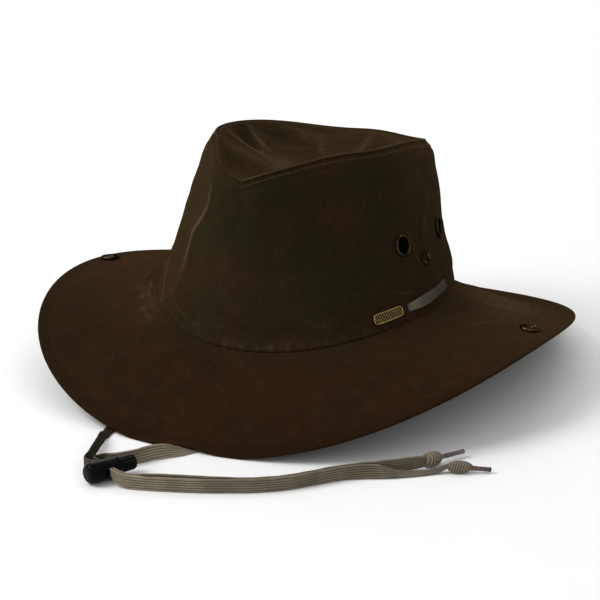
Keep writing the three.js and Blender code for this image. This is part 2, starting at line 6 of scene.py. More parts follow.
import bpy
import numpy as np
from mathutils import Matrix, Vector


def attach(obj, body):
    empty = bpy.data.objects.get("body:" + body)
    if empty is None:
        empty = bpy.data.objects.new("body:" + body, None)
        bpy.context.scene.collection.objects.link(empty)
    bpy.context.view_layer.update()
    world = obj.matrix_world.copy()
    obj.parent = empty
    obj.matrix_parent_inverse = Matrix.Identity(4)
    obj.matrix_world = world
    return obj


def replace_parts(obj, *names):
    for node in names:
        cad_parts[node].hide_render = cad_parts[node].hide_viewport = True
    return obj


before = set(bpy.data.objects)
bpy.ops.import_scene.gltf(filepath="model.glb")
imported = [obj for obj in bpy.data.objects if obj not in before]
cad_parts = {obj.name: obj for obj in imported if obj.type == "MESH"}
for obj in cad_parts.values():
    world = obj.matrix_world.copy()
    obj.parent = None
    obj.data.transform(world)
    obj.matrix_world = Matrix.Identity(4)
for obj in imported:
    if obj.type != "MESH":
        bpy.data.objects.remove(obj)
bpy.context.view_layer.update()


# The camera stands in front of the hat, to the wearer's left and a little above the brim,
# and looks at a point under the middle of the crown.
def add(name, data):
    """A new object in the scene."""
    made = bpy.data.objects.new(name, data)
    bpy.context.scene.collection.objects.link(made)
    return made


camera_turn = math.radians(26.3)
camera_rise = math.radians(19.35)
camera_distance = 1.5
camera_aim = Vector((-0.0068, -0.0028, 0.0355))
camera_back = Vector((
    math.sin(camera_turn) * math.cos(camera_rise),
    -math.cos(camera_turn) * math.cos(camera_rise),
    math.sin(camera_rise),
))
camera = add("camera", bpy.data.cameras.new("camera"))
camera.data.lens = 152.4
camera.location = camera_aim + camera_back * camera_distance
camera.rotation_mode = "QUATERNION"
camera.rotation_quaternion = (-camera_back).to_track_quat("-Z", "Y")
bpy.context.scene.camera = camera


# The chin cord is a flat braided lace, eight millimetres wide. Its two strands come down
# inside the crown, run out under the front of the brim, go through the cord lock and lie on
# edge, side by side, as far as their knots. It is woven in one piece, with lengthwise ribs.
class Tree:
    """A node tree being made. node() adds one node and gives its first output."""

    def __init__(self, tree):
        self.tree = tree

    def node(self, kind, settings=None, inputs=None, output=0):
        made = self.tree.nodes.new(kind)
        for name, value in (settings or {}).items():
            setattr(made, name, value)
        for name, value in (inputs or {}).items():
            self.feed(made.inputs[name], value)
        return Wire(self, made.outputs[output])

    def feed(self, socket, value):
        if isinstance(value, Wire):
            self.tree.links.new(value.socket, socket)
        elif hasattr(value, "__len__") and len(value) == 3 and socket.type == "RGBA":
            socket.default_value = (*value, 1)
        else:
            socket.default_value = value


class Wire:
    """One output of a node. Arithmetic on it adds Math nodes."""

    def __init__(self, tree, socket):
        self.tree = tree
        self.socket = socket

    def math(self, operation, *values):
        settings = {"operation": operation}
        return self.tree.node("ShaderNodeMath", settings, dict(enumerate((self, *values))))

    def __add__(self, other):
        return self.math("ADD", other)

    def __mul__(self, other):
        return self.math("MULTIPLY", other)

    def __sub__(self, other):
        return self.math("SUBTRACT", other)

    def __rsub__(self, other):
        return (self * -1).math("ADD", other)

    def sine(self):
        return self.math("SINE")

    def size(self):
        return self.math("ABSOLUTE")

    def between(self, low, high, start=0.0, end=1.0):
        limits = {"Value": self, "From Min": low, "From Max": high, "To Min": start, "To Max": end}
        return self.tree.node("ShaderNodeMapRange", {"interpolation_type": "SMOOTHSTEP"}, limits)

    __radd__ = __add__
    __rmul__ = __mul__


class Look(Tree):
    """A material being made, with the readings and mixes that its pattern is worked out from."""

    def __init__(self, name):
        self.material = bpy.data.materials.new(name)
        self.material.use_nodes = True
        super().__init__(self.material.node_tree)
        self.shader = self.tree.nodes["Principled BSDF"]

    def place(self, reading="Object"):
        """Object coordinates, or the piece's UV map."""
        return self.node("ShaderNodeTexCoord", output=reading)

    def split(self, vector):
        return [self.node("ShaderNodeSeparateXYZ", inputs={0: vector}, output=axis) for axis in "XYZ"]

    def paint(self, name):
        return self.node("ShaderNodeAttribute", {"attribute_name": name}, output="Fac")

    def noise(self, scale, detail=3.0, roughness=0.55, stretch=None):
        """Noise over the object's own space."""
        vector = self.place()
        if stretch:
            vector = self.node("ShaderNodeVectorMath", {"operation": "MULTIPLY"},
                               {0: vector, 1: stretch})
        inputs = {"Vector": vector, "Scale": scale, "Detail": detail, "Roughness": roughness}
        return self.node("ShaderNodeTexNoise", inputs=inputs)

    def mix(self, factor, first, second):
        """Goes from the first colour to the second by factor."""
        return self.node("ShaderNodeMix", {"data_type": "RGBA"}, {0: factor, 6: first, 7: second},
                         output=2)

    def layer(self, colour, coats):
        """Lays coats over a colour, each a factor and its own colour."""
        for factor, coat in coats:
            colour = self.mix(factor, colour, coat)
        return colour

    def bump(self, height, distance, strength=1.0, under=None):
        inputs = {"Height": height, "Distance": distance, "Strength": strength}
        if under:
            inputs["Normal"] = under
        return self.node("ShaderNodeBump", inputs=inputs)

    def finish(self, **sockets):
        for name, value in sockets.items():
            self.feed(self.shader.inputs[name.replace("_", " ").title().replace("Ior", "IOR")], value)
        return self.material


def mesh_of(name, points, faces, edges=()):
    """A new object with a mesh of these points, faces and loose edges."""
    mesh = bpy.data.meshes.new(name)
    mesh.from_pydata(np.array(points, float).tolist(), edges, faces)
    return add(name, mesh)


def skin(name, rings, along=None, across=None, hoop=False, paints=None):
    """A closed surface through rings of points. A hoop's last ring joins its first; any other
    surface is capped at both ends. Its UV are lengths along it, one for each ring and one more
    in a hoop, and lengths across it, one more than it has columns."""
    count, around = rings.shape[:2]
    bands = count if hoop else count - 1
    along = np.zeros(count + 1) if along is None else along
    across = np.linspace(0, 1, around + 1) if across is None else across
    band, column = np.meshgrid(np.arange(bands), np.arange(around), indexing="ij")
    beside, ahead = (column + 1) % around, (band + 1) % count
    corners = [(band, column), (band, beside), (ahead, beside), (ahead, column)]
    quads = np.stack([row * around + place for row, place in corners], -1).reshape(-1, 4)
    faces = quads.tolist()
    u = np.stack([along[band], along[band], along[band + 1], along[band + 1]], -1)
    v = np.stack([across[column], across[column + 1], across[column + 1], across[column]], -1)
    uv = np.stack([u, v], -1).reshape(-1, 2)
    if not hoop:
        last = (count - 1) * around
        faces += [list(range(around - 1, -1, -1)), list(range(last, last + around))]
        uv = np.concatenate([uv, np.tile([along[0], across[0]], (around, 1)),
                             np.tile([along[-1], across[0]], (around, 1))])
    made = mesh_of(name, rings.reshape(-1, 3), faces)
    mesh = made.data
    mesh.uv_layers.new(name="UVMap").data.foreach_set("uv", uv.astype(np.float32).ravel())
    for paint, values in (paints or {}).items():
        shares = np.broadcast_to(values, (count, around)).astype(np.float32)
        mesh.attributes.new(paint, "FLOAT", "POINT").data.foreach_set("value", shares.ravel())
    mesh.shade_smooth()
    return made


def unit(vectors):
    return vectors / np.linalg.norm(vectors, axis=-1, keepdims=True)


def smooth_line(points, steps):
    """A centripetal spline through the points, with so many steps between each two."""
    points = np.array(points, float)
    ends = [2 * points[:1] - points[1:2], points, 2 * points[-1:] - points[-2:-1]]
    padded = np.concatenate(ends)
    knots = np.concatenate([[0], np.cumsum(np.linalg.norm(np.diff(padded, axis=0), axis=1) ** 0.5)])
    line = []
    for place in range(1, len(padded) - 2):
        at = knots[place - 1:place + 3]
        blend = padded[place - 1:place + 3]
        t = np.linspace(at[1], at[2], steps, endpoint=False)[:, None]
        for spans in (((0, 1), (1, 2), (2, 3)), ((0, 2), (1, 3)), ((1, 2),)):
            blend = [(blend[k] * (at[high] - t) + blend[k + 1] * (t - at[low])) / (at[high] - at[low])
                     for k, (low, high) in enumerate(spans)]
        line += blend
    return np.concatenate([*line, points[-1:]])


def length_along(line):
    return np.concatenate([[0], np.cumsum(np.linalg.norm(np.diff(line, axis=0), axis=1))])


def fine_rows(rows, count):
    """A short table drawn out evenly to so many rows."""
    places = np.linspace(0, len(rows) - 1, count)
    return np.stack([np.interp(places, range(len(rows)), column) for column in zip(*rows)], -1)


mm = 0.001
lace_width = 0.008
lace_thickness = 0.0013
lace_ribs = 6
columns_per_rib = 6
lace_relief = 0.45


def lace(name, line, wide, bunch, shade, relief=lace_relief):
    """Flat lace along a line. Wide is the way that its width points, bunch how far it is
    gathered, so that its ribs crowd together, and relief how high they stand."""
    travel = unit(np.gradient(line, axis=0))
    wide = unit(wide - travel * (wide * travel).sum(-1, keepdims=True))
    thick = np.cross(travel, wide)
    way = np.linspace(1, -1, columns_per_rib * lace_ribs + 1)[:-1]
    across = np.concatenate([way, -way])
    rib = np.abs(np.sin(np.pi * lace_ribs * (across + 1) / 2)) ** 0.6
    flat = np.repeat([1, -1], len(way)) * (1 - np.abs(across) ** 6) ** 0.5
    run = length_along(line)
    rng = np.random.default_rng(len(name))
    wander = sum(np.sin(run / period * math.tau + rng.uniform(0, 6))
                 for period in (0.011, 0.019, 0.034))
    half_width = (lace_width / 2 * bunch * (1 + 0.012 * wander))[:, None, None]
    swell = (1 + 0.5 * (1 - bunch))[:, None]
    half_thick = lace_thickness / 2 * swell * flat * (1 - relief + relief * rib)
    rings = (line[:, None] + wide[:, None] * across[None, :, None] * half_width
             + thick[:, None] * half_thick[..., None])
    # The grooves between the ribs are painted darker, as shade.
    groove_shade = (1 - rib) * np.abs(flat) * relief / lace_relief
    return skin(name, rings[:, ::-1], run, np.linspace(0, 2, len(across) + 1),
                paints={"groove_shade": groove_shade[None, ::-1], "shade": shade[:, None]})


# Rows are x, y, z in millimetres, tilt in degrees (0 flat, 90 on edge) and bunch (1 full width).
left_route = [
    (73.2, -40, 52.8, 270, 1), (66.8, -47.2, 50.5, 264, 1), (62.6, -54, 40, 250, 1),
    (58.2, -60, 26, 230, 1), (54.4, -67.5, 13, 206, 1), (49.4, -77.5, 4.6, 188, 1),
    (42, -91, 1.2, 180, 1), (32, -109, 0.75, 180, 1), (21, -129, 0.75, 180, 1),
    (10.5, -148, 0.75, 180, 1), (4.4, -160, 0.75, 178, 1), (2.8, -163.2, 1.2, 171, 1),
    (0.4, -167.2, 2.2, 156, 1), (-2.2, -171.2, 3.3, 132, 1.03), (-7.2, -179.4, 4.4, 108, 1.06),
    (-12.5, -188.6, 4.5, 96, 1.08), (-19, -196.3, 4.5, 90, 1.08), (-25.3, -200.4, 4.5, 90, 1.04),
    (-28.1, -204.3, 4.9, 90, 0.9), (-26.6, -207.6, 5.9, 90, 0.72), (-21, -209.94, 6.35, 90, 0.62),
    (-15.53, -212.68, 6.35, 90, 0.62), (-10.06, -215.42, 6.35, 90, 0.62),
    (-6.8, -216.9, 5.6, 90, 0.8), (-1.2, -217.2, 4.3, 90, 1), (6.6, -214.4, 4.3, 90, 1.02),
    (18, -209.3, 4.3, 90, 1.03), (32.3, -204.7, 4.3, 90, 1.03), (47, -198.9, 4.2, 90, 1),
    (61, -192.4, 4.15, 90, 1), (73.5, -182.6, 4.15, 90, 1), (84, -170.2, 4.15, 90, 1),
    (94.5, -157.3, 4.15, 90, 1), (106, -146.5, 4.15, 90, 1), (116, -138, 4.15, 90, 1),
    (124, -129.5, 4.15, 90, 1), (127.6, -125.2, 4.15, 90, 0.8), (128.8, -123, 4.2, 90, 0.5),
]
right_route = [
    (-73.2, -40, 52.8, 90, 1), (-66.8, -47.2, 50.5, 96, 1), (-63.6, -55, 40, 110, 1),
    (-61.2, -63.5, 26, 130, 1), (-60, -74, 13, 154, 1), (-58.6, -86, 4.6, 172, 1),
    (-56.6, -101, 1.2, 180, 1), (-54, -120, 0.75, 180, 1), (-51.6, -138, 0.75, 180, 0.95),
    (-49, -155, 0.75, 180, 0.76), (-47.8, -160, 1, 174, 0.7), (-45.2, -168, 3, 120, 0.7),
    (-41.4, -179, 3.9, 98, 0.86), (-38, -189.6, 4.2, 96, 0.94), (-35, -199.4, 4.2, 93, 1),
    (-32.8, -207.8, 4.5, 90, 0.96), (-28.6, -211.3, 5.5, 90, 0.8),
    (-21.8, -211.53, 6.35, 90, 0.62), (-16.33, -214.27, 6.35, 90, 0.62),
    (-10.86, -217.01, 6.35, 90, 0.62), (-7.4, -218.9, 5.6, 90, 0.8), (-1.6, -219.3, 4.3, 90, 1),
    (7.2, -217.4, 4.15, 90, 1), (19.7, -213.4, 4.15, 90, 1), (33.8, -208.1, 4.15, 90, 1),
    (48.3, -201.4, 4.15, 90, 1), (62.1, -193.9, 4.15, 90, 1), (74.9, -183.8, 4.15, 90, 1),
    (85.4, -171.4, 4.15, 90, 1), (95.9, -158.8, 4.15, 88, 1), (108.6, -149.4, 4, 62, 0.95),
    (120, -141.8, 2.1, 16, 0.7), (130.5, -133.6, 1.3, 3, 0.58), (137.2, -127.9, 2, 3, 0.5),
    (140.6, -125.4, 3.5, 2, 0.45), (143, -124.2, 3.7, 2, 0.4),
]
route_steps = 10


def chin_strand(name, route, shades):
    """A strand along its route, and the line that it follows. Shades are how dark it is at
    stations along it."""
    line = smooth_line(np.array(route)[:, :3] * mm, route_steps)
    tilt, bunch = fine_rows([row[3:] for row in route], len(line)).T
    travel = unit(np.gradient(line, axis=0))
    level = unit(np.cross([0, 0, 1], travel))
    raised = np.cross(travel, level)
    tilt = np.radians(tilt)[:, None]
    shade = np.interp(np.linspace(0, len(route) - 1, len(line)), *zip(*shades))
    strand = lace(name, line, level * np.cos(tilt) + raised * np.sin(tilt), bunch, shade)
    return strand, line


# The right strand is painted darkest where it runs in shadow under the brim, and the left one where its
# loop lies in shadow behind the lock: painted shade. Both are also a little darker towards their knots.
left_strand, left_line = chin_strand(
    "chin_lace_left", left_route,
    [(0, 0.25), (14, 0.03), (16.4, 0), (17.1, 0.8), (19, 0.9), (20.5, 0.4), (21.5, 0), (26, 0.1),
     (31, 0.3), (36, 0.4)])
right_strand, right_line = chin_strand(
    "chin_lace_right", right_route,
    [(0, 1.0), (15, 0.99), (17, 0.6), (19, 0), (23, 0.05), (27, 0.28), (35, 0.4)])

look = Look("woven lace")
run, across, _ = look.split(look.place("UV"))
fibre = look.noise(900, 2)
blotch = look.noise(60, 3)
tint = look.noise(170, 3)
slant = (across * 12).math("PINGPONG", 1.0)
plait = ((run * 640 + slant * 0.9) * math.tau).sine()
groove_shade = look.paint("groove_shade")
pale = look.mix(blotch.between(0.35, 0.65), (0.205, 0.176, 0.128), (0.325, 0.280, 0.204))
# The tints, fibres and the plait's weave are the lace's own colour. The grooves between the ribs are
# painted dark as shade, and the shade paint darkens whole stretches as painted shade.
dyed_and_shaded = look.layer(pale, [
    (tint.between(0.45, 0.7) * 0.3, (0.235, 0.170, 0.120)),
    (tint.between(0.5, 0.3) * 0.35, (0.160, 0.168, 0.105)),
    (fibre.between(0.35, 0.7) * 0.3, (0.33, 0.285, 0.21)),
    (groove_shade.between(0.1, 0.8) * 0.85 + plait.between(-1.0, 0.3, 0.3, 0.0), (0.035, 0.029, 0.022)),
    (look.paint("shade") * 0.96, (0.0125, 0.0105, 0.0070)),
])
weave_bump = look.bump(plait * 0.5 + fibre, 0.0003, 0.6)
lace_material = look.finish(base_color=dyed_and_shaded, roughness=fibre.between(0, 1, 0.75, 0.95),
                            normal=weave_bump, specular_ior_level=0.03, sheen_weight=0.05,
                            sheen_roughness=0.5, sheen_tint=(1.0, 0.80, 0.52))
for strand in (left_strand, right_strand):
    strand.data.materials.append(lace_material)


# Each end of the lace has an overhand knot, drawn tight, and an aglet of heat-shrunk tube
# that grips the end of the lace a little way beyond it.
def spokes(columns):
    return np.linspace(0, 2 * np.pi, columns, endpoint=False)


def along_axis(start, direction, distance, radii):
    """Rings round a straight axis, and their distances in metres. The distances and radii
    given are in millimetres."""
    direction = unit(np.array(direction, float))
    side = unit(np.cross([0, 0, 1], direction))
    angle = spokes(radii.shape[1])[:, None]
    spoke = side * np.cos(angle) + np.cross(direction, side) * np.sin(angle)
    distance = distance * mm
    middle = np.array(start) + direction * distance[:, None]
    return middle[:, None] + spoke * radii[..., None] * mm, distance


wrap_rib_pitch = 1.4
bare_lace_radius = 1.6
knot_rings, knot_columns = 110, 56
aglet_rings, aglet_columns = 60, 28


def wrapped(end, distance, angle):
    """A knot's skin: turns of lace that lie aslant of its axis, each with its own ribs. Gives
    its radius and how deep its grooves are."""
    aslant = distance - end["tilt"] * np.cos(angle - end["lean"])
    plain = np.interp(aslant, *zip(*end["knot"]))
    body = np.clip(plain - bare_lace_radius, 0, 1)
    ribs = np.abs(np.sin(np.pi * aslant / wrap_rib_pitch)) ** 0.6
    relief = 1 + body * (0.11 * ribs - 0.07)
    return plain * relief, np.clip((1.03 - relief) / 0.08, 0, 1)


chin_ends = {  # in millimetres
    "left": dict(
        start=(127.9, -124.8, 4.3), direction=(10.9, 20.6, -0.9), dark=0.3, tilt=1.6, lean=2.4,
        knot=[(-2, 1.2), (0.2, 3.0), (1.2, 3.8), (2.8, 4.1), (5.8, 4.0), (7.4, 3.4), (8.6, 2.3),
              (9.6, 1.5), (11, 1.2), (13.2, 1.2)],
        aglet_from=13.2, aglet_length=13.3),
    "right": dict(
        start=(141.3, -125.1, 3.9), direction=(19.8, 9.1, -1.8), dark=0.2, tilt=0.9, lean=0.6,
        knot=[(-2, 1.4), (0, 1.9), (2.2, 3.0), (5.4, 3.45), (8.8, 3.2), (11, 2.3), (12.2, 1.5),
              (12.7, 1.3)],
        aglet_from=12.6, aglet_length=10.3),
}
aglet_swell = [  # share of the length, radius
    (0, 0.9), (0.01, 1.25), (0.03, 1.35), (0.25, 1.25), (0.5, 1.2), (0.8, 1.25), (0.96, 1.28),
    (0.99, 1.1), (1, 0.8),
]
knots, aglets = {}, {}
for side, end in chin_ends.items():
    start = np.array(end["start"]) * mm
    distance = np.linspace(0, end["knot"][-1][0], knot_rings)
    # The grooves between its turns are painted darker, as shade.
    radii, groove_shade = wrapped(end, distance[:, None], spokes(knot_columns))
    rings, run = along_axis(start, end["direction"], distance, radii)
    knots[side] = skin(f"knot_wrap_{side}", rings, run, paints={"groove_shade": groove_shade, "shade": end["dark"]})
    knots[side].data.materials.append(lace_material)
    start = start + unit(np.array(end["direction"])) * end["aglet_from"] * mm
    distance, radius = (fine_rows(aglet_swell, aglet_rings) * [end["aglet_length"], 1]).T
    swirl = 1 + 0.03 * np.sin(distance[:, None] * 2.6 + spokes(aglet_columns) * 2)
    rings, run = along_axis(start, end["direction"], distance, radius[:, None] * swirl)
    aglets[side] = skin(f"aglet_tube_{side}", rings, run)

for side, near, far in [("left", (0.075, 0.058, 0.055), (0.13, 0.105, 0.105)),
                        ("right", (0.105, 0.045, 0.03), (0.035, 0.03, 0.032))]:
    look = Look(f"shrunk tube {side}")
    run, around, _ = look.split(look.place("UV"))
    cloud = look.noise(500, 3)
    shade = look.mix(run.between(0.001, chin_ends[side]["aglet_length"] * mm), near, far)
    shade = look.mix(cloud.between(0.35, 0.75) * 0.5, shade, (0.02, 0.017, 0.016))
    aglets[side].data.materials.append(look.finish(
        base_color=shade, roughness=cloud.between(0, 1, 0.3, 0.55),
        normal=look.bump(cloud, 0.0002, 0.4), specular_ior_level=0.5))


# The cord lock is a moulded barrel with a cross hole for the lace, and a sprung plunger whose
# fluted head is pressed to let the lace slide. Both are glossy black plastic.
lock_foot = np.array([-21.9, -225.6, 6.35]) * mm
lock_heading = math.radians(63.4)
lock_axis = np.array([math.cos(lock_heading), math.sin(lock_heading), 0])
# in millimetres along and round the lock's axis
lock_length = 20.0
barrel_radius, bore_radius, bore_floor = 5.8, 4.7, 2.5
cross_hole, plunger_hole, hole_height = (11.6, 16.2), (11.6, 19.0), 5.8
flutes, flute_depth = 12, 0.42
head_rings, head_columns = 70, 144


def take_in(made):
    """Takes a piece's modifiers into its mesh."""
    depsgraph = bpy.context.evaluated_depsgraph_get()
    mesh = bpy.data.meshes.new_from_object(made.evaluated_get(depsgraph), depsgraph=depsgraph)
    made.modifiers.clear()
    made.data = mesh


def cut_out(made, cutters):
    """Cuts the shapes out of a piece, and removes the shapes."""
    for cutter in cutters:
        knife = made.modifiers.new("cut", "BOOLEAN")
        knife.object = cutter
        knife.solver = "EXACT"
    bpy.context.view_layer.update()
    take_in(made)
    for cutter in cutters:
        bpy.data.objects.remove(cutter)


def block(name, centre, axes, sizes):
    """A plain box with its sizes in millimetres, used to cut with."""
    corners = np.array([(x, y, z) for x in (-1, 1) for y in (-1, 1) for z in (-1, 1)])
    points = centre + corners * sizes / 2 * mm @ np.array(axes)
    faces = [(0, 1, 3, 2), (4, 6, 7, 5), (0, 4, 5, 1), (2, 3, 7, 6), (0, 2, 6, 4), (1, 5, 7, 3)]
    return mesh_of(name, points, faces)


lock_axes = [lock_axis, np.cross([0, 0, 1], lock_axis), (0, 0, 1)]


def lock_cutter(span):
    middle = lock_foot + lock_axis * sum(span) / 2 * mm
    return block("lock_hole", middle, lock_axes, (span[1] - span[0], 30, hole_height))


def turned(name, start, direction, profile, columns, hoop=False):
    """A turned piece, from rows of distance along its axis and radius in millimetres."""
    distance, radius = np.array(profile, float).T
    rings, run = along_axis(start, direction, distance, radius[:, None] * np.ones(columns))
    return skin(name, rings, np.append(run, run[0]) if hoop else run, hoop=hoop)


barrel_profile = [
    (0.8, 0.8), (0.8, 3.4), (1.1, 4.3), (1.8, 5.1), (2.8, 5.5), (4, barrel_radius),
    (10, barrel_radius), (19.2, barrel_radius), (19.8, 5.6), (lock_length, 5.3), (lock_length, 5),
    (19.8, bore_radius), (10, bore_radius), (bore_floor, bore_radius), (bore_floor, 0.8),
]
lock_barrel = turned("lock_body", lock_foot, lock_axis, barrel_profile, columns=96)
cut_out(lock_barrel, [lock_cutter(cross_hole)])
soft_edges = lock_barrel.modifiers.new("soft edges", "BEVEL")
soft_edges.width = 0.0003
soft_edges.segments = 3
soft_edges.limit_method = "ANGLE"
soft_edges.angle_limit = math.radians(50)
take_in(lock_barrel)

head_start = 20.0
head_rows = [
    (6.3, 1.0), (6.3, 4.1), (6.6, 4.4), (19.6, 4.4), (head_start, 4.3), (20.4, 4.2),
    (28.6, 4.2), (29.8, 4.0), (30.4, 3.6), (30.6, 3.0), (30.4, 2.0), (30.3, 0.6),
]
distance, radius = fine_rows(head_rows, head_rings).T[..., None]
depth = flute_depth * np.clip((distance - head_start) / 0.8, 0, 1) * np.clip(radius - 2, 0, 1)
radii = radius - depth * (0.5 - 0.5 * np.cos(flutes * spokes(head_columns))) ** 1.6
rings, run = along_axis(lock_foot, lock_axis, distance[:, 0], radii)
lock_button = skin("lock_plunger", rings, run)
cut_out(lock_button, [lock_cutter(plunger_hole)])

look = Look("black moulded plastic")
scuff = look.noise(260, 4, 0.6, (1, 0.35, 1))
dust = look.noise(1500, 2)
black = look.mix(scuff.between(0.5, 0.75) * 0.4, (0.0013, 0.0015, 0.0017), (0.0055, 0.0060, 0.0064))
black = look.mix(dust.between(0.66, 0.8) * 0.12, black, (0.03, 0.029, 0.027))
black_plastic = look.finish(base_color=black, roughness=scuff.between(0.3, 0.8, 0.12, 0.28),
                            normal=look.bump(scuff, 0.0001, 0.3), specular_ior_level=0.05)
for made in (lock_barrel, lock_button):
    made.data.materials.append(black_plastic)
    made.data.shade_smooth()

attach(lock_barrel, "hat")
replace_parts(lock_barrel, "lock_barrel")
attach(lock_button, "button")
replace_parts(lock_button, "lock_button")
for side, strand, line in (("left", left_strand, left_line), ("right", right_strand, right_line)):
    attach(strand, "hat")
    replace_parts(strand, f"chin_cord_{side}")
    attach(knots[side], "hat")
    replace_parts(knots[side], f"knot_{side}")
    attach(aglets[side], "hat")
    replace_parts(aglets[side], f"aglet_{side}")
    pieces = [knots[side], aglets[side]] + ([lock_barrel, lock_button] if side == "left" else [])


# The crown's side is one hoop of waxed cotton, pinched in at the front, that stands on the
# brim. It is creased where it has been folded, and cut for its eyelets, snaps and lace slits.
wall_thickness = 0.0016
# half width, half length and the y of the middle
join_oval = (0.0865, 0.0986, -0.00283)
ridge_oval = (0.0481, 0.0890, 0.00786)
crown_bulge = np.array([
    # rise, then how far out in front and behind, in millimetres
    (0, 0, 0), (0.10, -1.2, 1.0), (0.20, -0.3, 0.6), (0.32, 0.3, -0.8), (0.46, 1.5, 0.6),
    (0.62, 2.2, 2.9), (0.80, 2.3, 4.0), (0.92, 2.6, 3.8), (1, 0, 0),
])


def hump(offset, spread):
    return np.exp(-(offset / spread) ** 2)


def from_front(turn):
    return np.abs((turn + 180) % 360 - 180)


def alike(first, second):
    """Both as numbers with one shape."""
    return np.broadcast_arrays(np.asarray(first, float), np.asarray(second, float))


def oval(size, angle, swell, height):
    """Points round an oval, swollen by a factor and lifted to a height."""
    half_width, half_length, middle = size
    return np.stack([half_width * np.sin(angle) * swell,
                     middle - half_length * np.cos(angle) * swell, height], -1)


def join_line(turn):
    """The seam where the crown meets the brim."""
    angle = np.radians(turn)
    swell = 1 - 0.0116 * np.cos(3 * angle) - 0.032 * hump(from_front(turn) - 116, 35)
    behind = np.clip((from_front(turn) - 103) / 49, 0, 1)
    drop = 0.0135 * behind**2 * (3 - 2 * behind)
    height = 0.0445 - 0.0028 * np.cos(angle) - 0.005 * np.cos(2 * angle) - drop
    return oval(join_oval, angle, swell, height)


def ridge_line(turn):
    """The crown's top edge, which dips at the pinch in front."""
    angle = np.radians(turn)
    aside = from_front(turn)
    swell = 1 + 0.0795 * np.cos(3 * angle) + 0.152 * hump(aside - 72.8, 20)
    height = 0.1298 + 0.0164 * np.cos(angle) - 0.00655 * np.cos(2 * angle)
    pinch = np.exp(-(aside / 14.1) ** 1.3)
    height = height - 0.0064 * pinch + 0.0102 * hump(180 - aside, 34)
    return oval(ridge_oval, angle, swell, height)


def smooth_table(at, table, column):
    """A smooth line through one column of a short table, by its first column."""
    places, values = table[:, 0], table[:, column]
    slopes = np.gradient(values, places)
    at = np.clip(at, places[0], places[-1])
    low = np.clip(np.searchsorted(places, at, side="right") - 1, 0, len(places) - 2)
    span = places[low + 1] - places[low]
    t = (at - places[low]) / span
    return ((2 * t**3 - 3 * t**2 + 1) * values[low] + (t**3 - 2 * t**2 + t) * slopes[low] * span
            + (3 * t**2 - 2 * t**3) * values[low + 1] + (t**3 - t**2) * slopes[low + 1] * span)


def crown_plain(turn, rise):
    """The crown's outer face without its creases, from the join (rise 0) to the ridge (1)."""
    turn, rise = alike(turn, rise)
    point = join_line(turn) * (1 - rise[..., None]) + ridge_line(turn) * rise[..., None]
    outward = point * [1, 1, 0] - np.stack([0 * rise, 0.005 * rise, 0 * rise], -1)
    ahead = (1 + np.cos(np.radians(turn))) / 2
    ahead = ahead**2 * (3 - 2 * ahead)
    bulge = (smooth_table(rise, crown_bulge, 1) * ahead
             + smooth_table(rise, crown_bulge, 2) * (1 - ahead))
    return point + unit(outward) * bulge[..., None] * mm


def crown_normal(turn, rise):
    around = crown_plain(turn + 0.5, rise) - crown_plain(turn - 0.5, rise)
    upward = crown_plain(turn, rise + 0.01) - crown_plain(turn, rise - 0.01)
    return unit(np.cross(around, upward))


def fold_field(u, v, folds):
    """Height and paleness of creases in the cloth. Each is a broken line of u, v points, with
    its height and the width of its flanks in millimetres, and how pale its crest has worn."""
    height, pale = np.zeros(u.shape), np.zeros(u.shape)
    for line, crest, width, worn in folds:
        crest, width = crest * mm, width * mm
        run = length_along(line)
        nearest, place = np.full(u.shape, 1.0), np.zeros(u.shape)
        for start, (u0, v0), (u1, v1) in zip(run, line, line[1:]):
            du, dv = u1 - u0, v1 - v0
            part = np.clip(((u - u0) * du + (v - v0) * dv) / (du**2 + dv**2), 0, 1)
            distance = np.hypot(u - u0 - part * du, v - v0 - part * dv)
            closer = distance < nearest
            place = np.where(closer, (start + part * math.hypot(du, dv)) / run[-1], place)
            nearest = np.where(closer, distance, nearest)
        fade = np.clip(np.sin(np.pi * place), 0, 1) ** 0.5
        soft = np.sqrt(nearest**2 + (0.25 * width)**2) - 0.25 * width
        height += crest * fade * np.exp(-soft / width)
        pale = np.maximum(pale, worn * fade * np.exp(-(nearest / (0.3 * width))**2))
    return height, pale


def ripples(points, spacing, seed, waves=28):
    """A gentle random swell over points in space, about one high."""
    rng = np.random.default_rng(seed)
    ways = unit(rng.normal(size=(waves, 3))) / (spacing * rng.uniform(0.6, 1.8, (waves, 1)))
    phases = points @ ways.T * math.tau + rng.uniform(0, 6.28, waves)
    return np.sin(phases).sum(-1) / (waves / 2) ** 0.5


